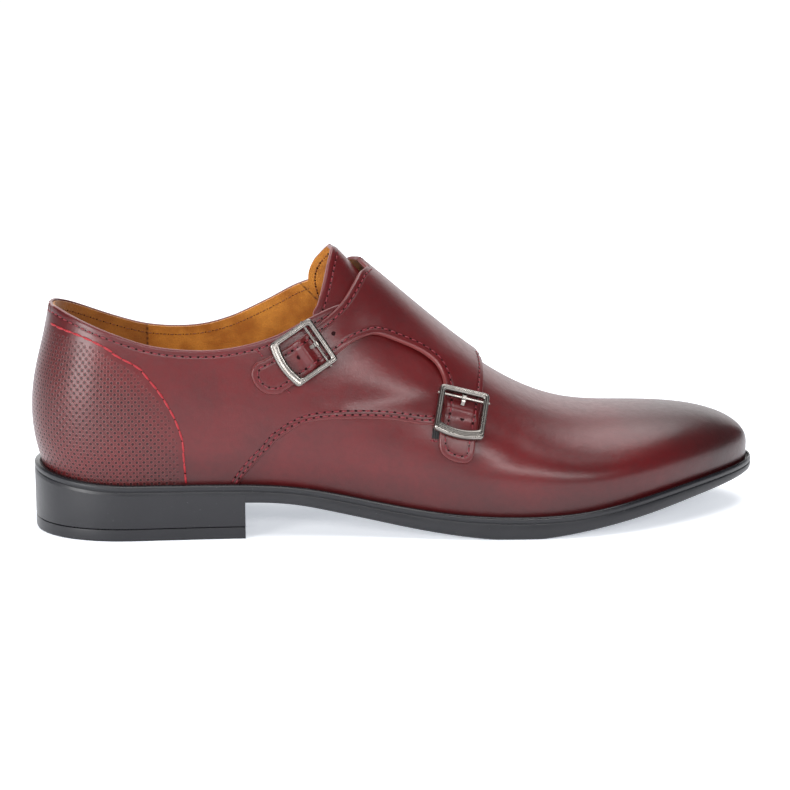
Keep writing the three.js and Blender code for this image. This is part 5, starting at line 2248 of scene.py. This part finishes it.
@dataclass
class Studio:
    """White table, soft lights and the photo's camera. Places are in metres, turns in degrees."""

    finishes: Finishes
    camera_at: Place = (-0.01240, -0.96750, 0.27333)
    camera_to: Place = (0.10639, 0.0, 0.05008)
    lens: float = 109.0
    sensor: float = 36.0
    table: float = 14.0
    sky: Colour = (0.92, 0.95, 1.0, 1.0)
    sky_strength: float = 0.10
    sun_power: float = 2.0
    sun_spread: float = 50.0
    sun_turn: Place = (-24.0, 4.0, 0.0)
    lights_to: Place = (0.10, 0.0, 0.04)
    lights: tuple[SoftLight, ...] = (
        SoftLight("backdrop", (0.10, 2.60, 0.90), (5.0, 1.6), 34),
        SoftLight("left_front", (-1.10, -1.00, 0.30), (0.62, 0.80), 19),
        SoftLight("front_low", (0.25, -1.60, 0.76), (1.6, 0.22), 14),
        SoftLight("overhead_box", (0.10, -0.35, 1.30), (1.3, 0.5), 7),
    )

    def put(self, name: str, data: bpy.types.ID, at: Place, turn: Sequence[float]) -> Piece:
        """Adds a light or a camera to the scene.

        Args:
            name: Its name.
            data: Its light or camera data.
            at: Its place.
            turn: Its rotation in radians.

        Returns:
            The new object.
        """
        made = bpy.data.objects.new(name, data)
        made.location = at
        made.rotation_euler = turn
        bpy.context.scene.collection.objects.link(made)
        return made

    def aimed(self, at: Place, to: Place) -> Sequence[float]:
        """Rotation in radians that faces one place from another."""
        return (Vector(to) - Vector(at)).to_track_quat("-Z", "Y").to_euler()

    def build_lights(self) -> None:
        """Sets the world's glow, the overhead light and the soft lights."""
        world = bpy.data.worlds.new("studio")
        world.use_nodes = True
        background = world.node_tree.nodes["Background"].inputs
        background["Color"].default_value = self.sky
        background["Strength"].default_value = self.sky_strength
        bpy.context.scene.world = world
        sun = bpy.data.lights.new("overhead", "SUN")
        sun.energy = self.sun_power
        sun.angle = math.radians(self.sun_spread)
        self.put("overhead", sun, (0.0, 0.0, 0.0), [math.radians(turn) for turn in self.sun_turn])
        for light in self.lights:
            data = bpy.data.lights.new(light.name, "AREA")
            data.shape = "RECTANGLE"
            data.size, data.size_y = light.size
            data.energy = light.power
            self.put(light.name, data, light.at, self.aimed(light.at, self.lights_to))

    def build(self) -> None:
        """Sets table, lights and camera."""
        half = self.table / 2
        corners = np.array([(-half, -half, 0), (half, -half, 0), (half, half, 0), (-half, half, 0)]) / MM
        table = make_object("table", corners, [np.array([[0, 1, 2, 3]])], [self.finishes.floor])
        self.build_lights()
        data = bpy.data.cameras.new("camera")
        data.lens = self.lens
        data.sensor_width = self.sensor
        turn = self.aimed(self.camera_at, self.camera_to)
        bpy.context.scene.camera = self.put("camera", data, self.camera_at, turn)
        bpy.context.scene.view_settings.view_transform = "Standard"


def dress_packed_nodes(nodes: dict[str, Piece], finishes: Finishes) -> None:
    """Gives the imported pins, prongs and keeper their finishes."""
    wanted = {"pin": finishes.metal, "prong": finishes.metal, "keeper": finishes.elastic}
    for name, node in nodes.items():
        for word, material in wanted.items():
            if name.endswith(word):
                node.data.materials.clear()
                node.data.materials.append(material)
                log.info("%s keeps its packed shape", name)


def main() -> None:
    """Builds the shoe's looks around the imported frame."""
    logging.basicConfig(level=logging.INFO, format="%(name)s: %(message)s")
    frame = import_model()
    last = Last()
    finishes = Finishes()
    seams = Seams(finishes)
    Upper(last, finishes, seams).build()
    Lining(last, finishes, seams).build()
    Tongue(last, finishes, seams).build()
    InstepFlap(last, finishes, seams).build()
    seams.build()
    for strap in (UPPER_STRAP, LOWER_STRAP):
        Buckle(last, finishes, strap).build()
    SoleUnit(last, finishes).build()
    dress_packed_nodes(frame["nodes"], finishes)
    Studio(finishes).build()


if __name__ == "__main__":
    main()
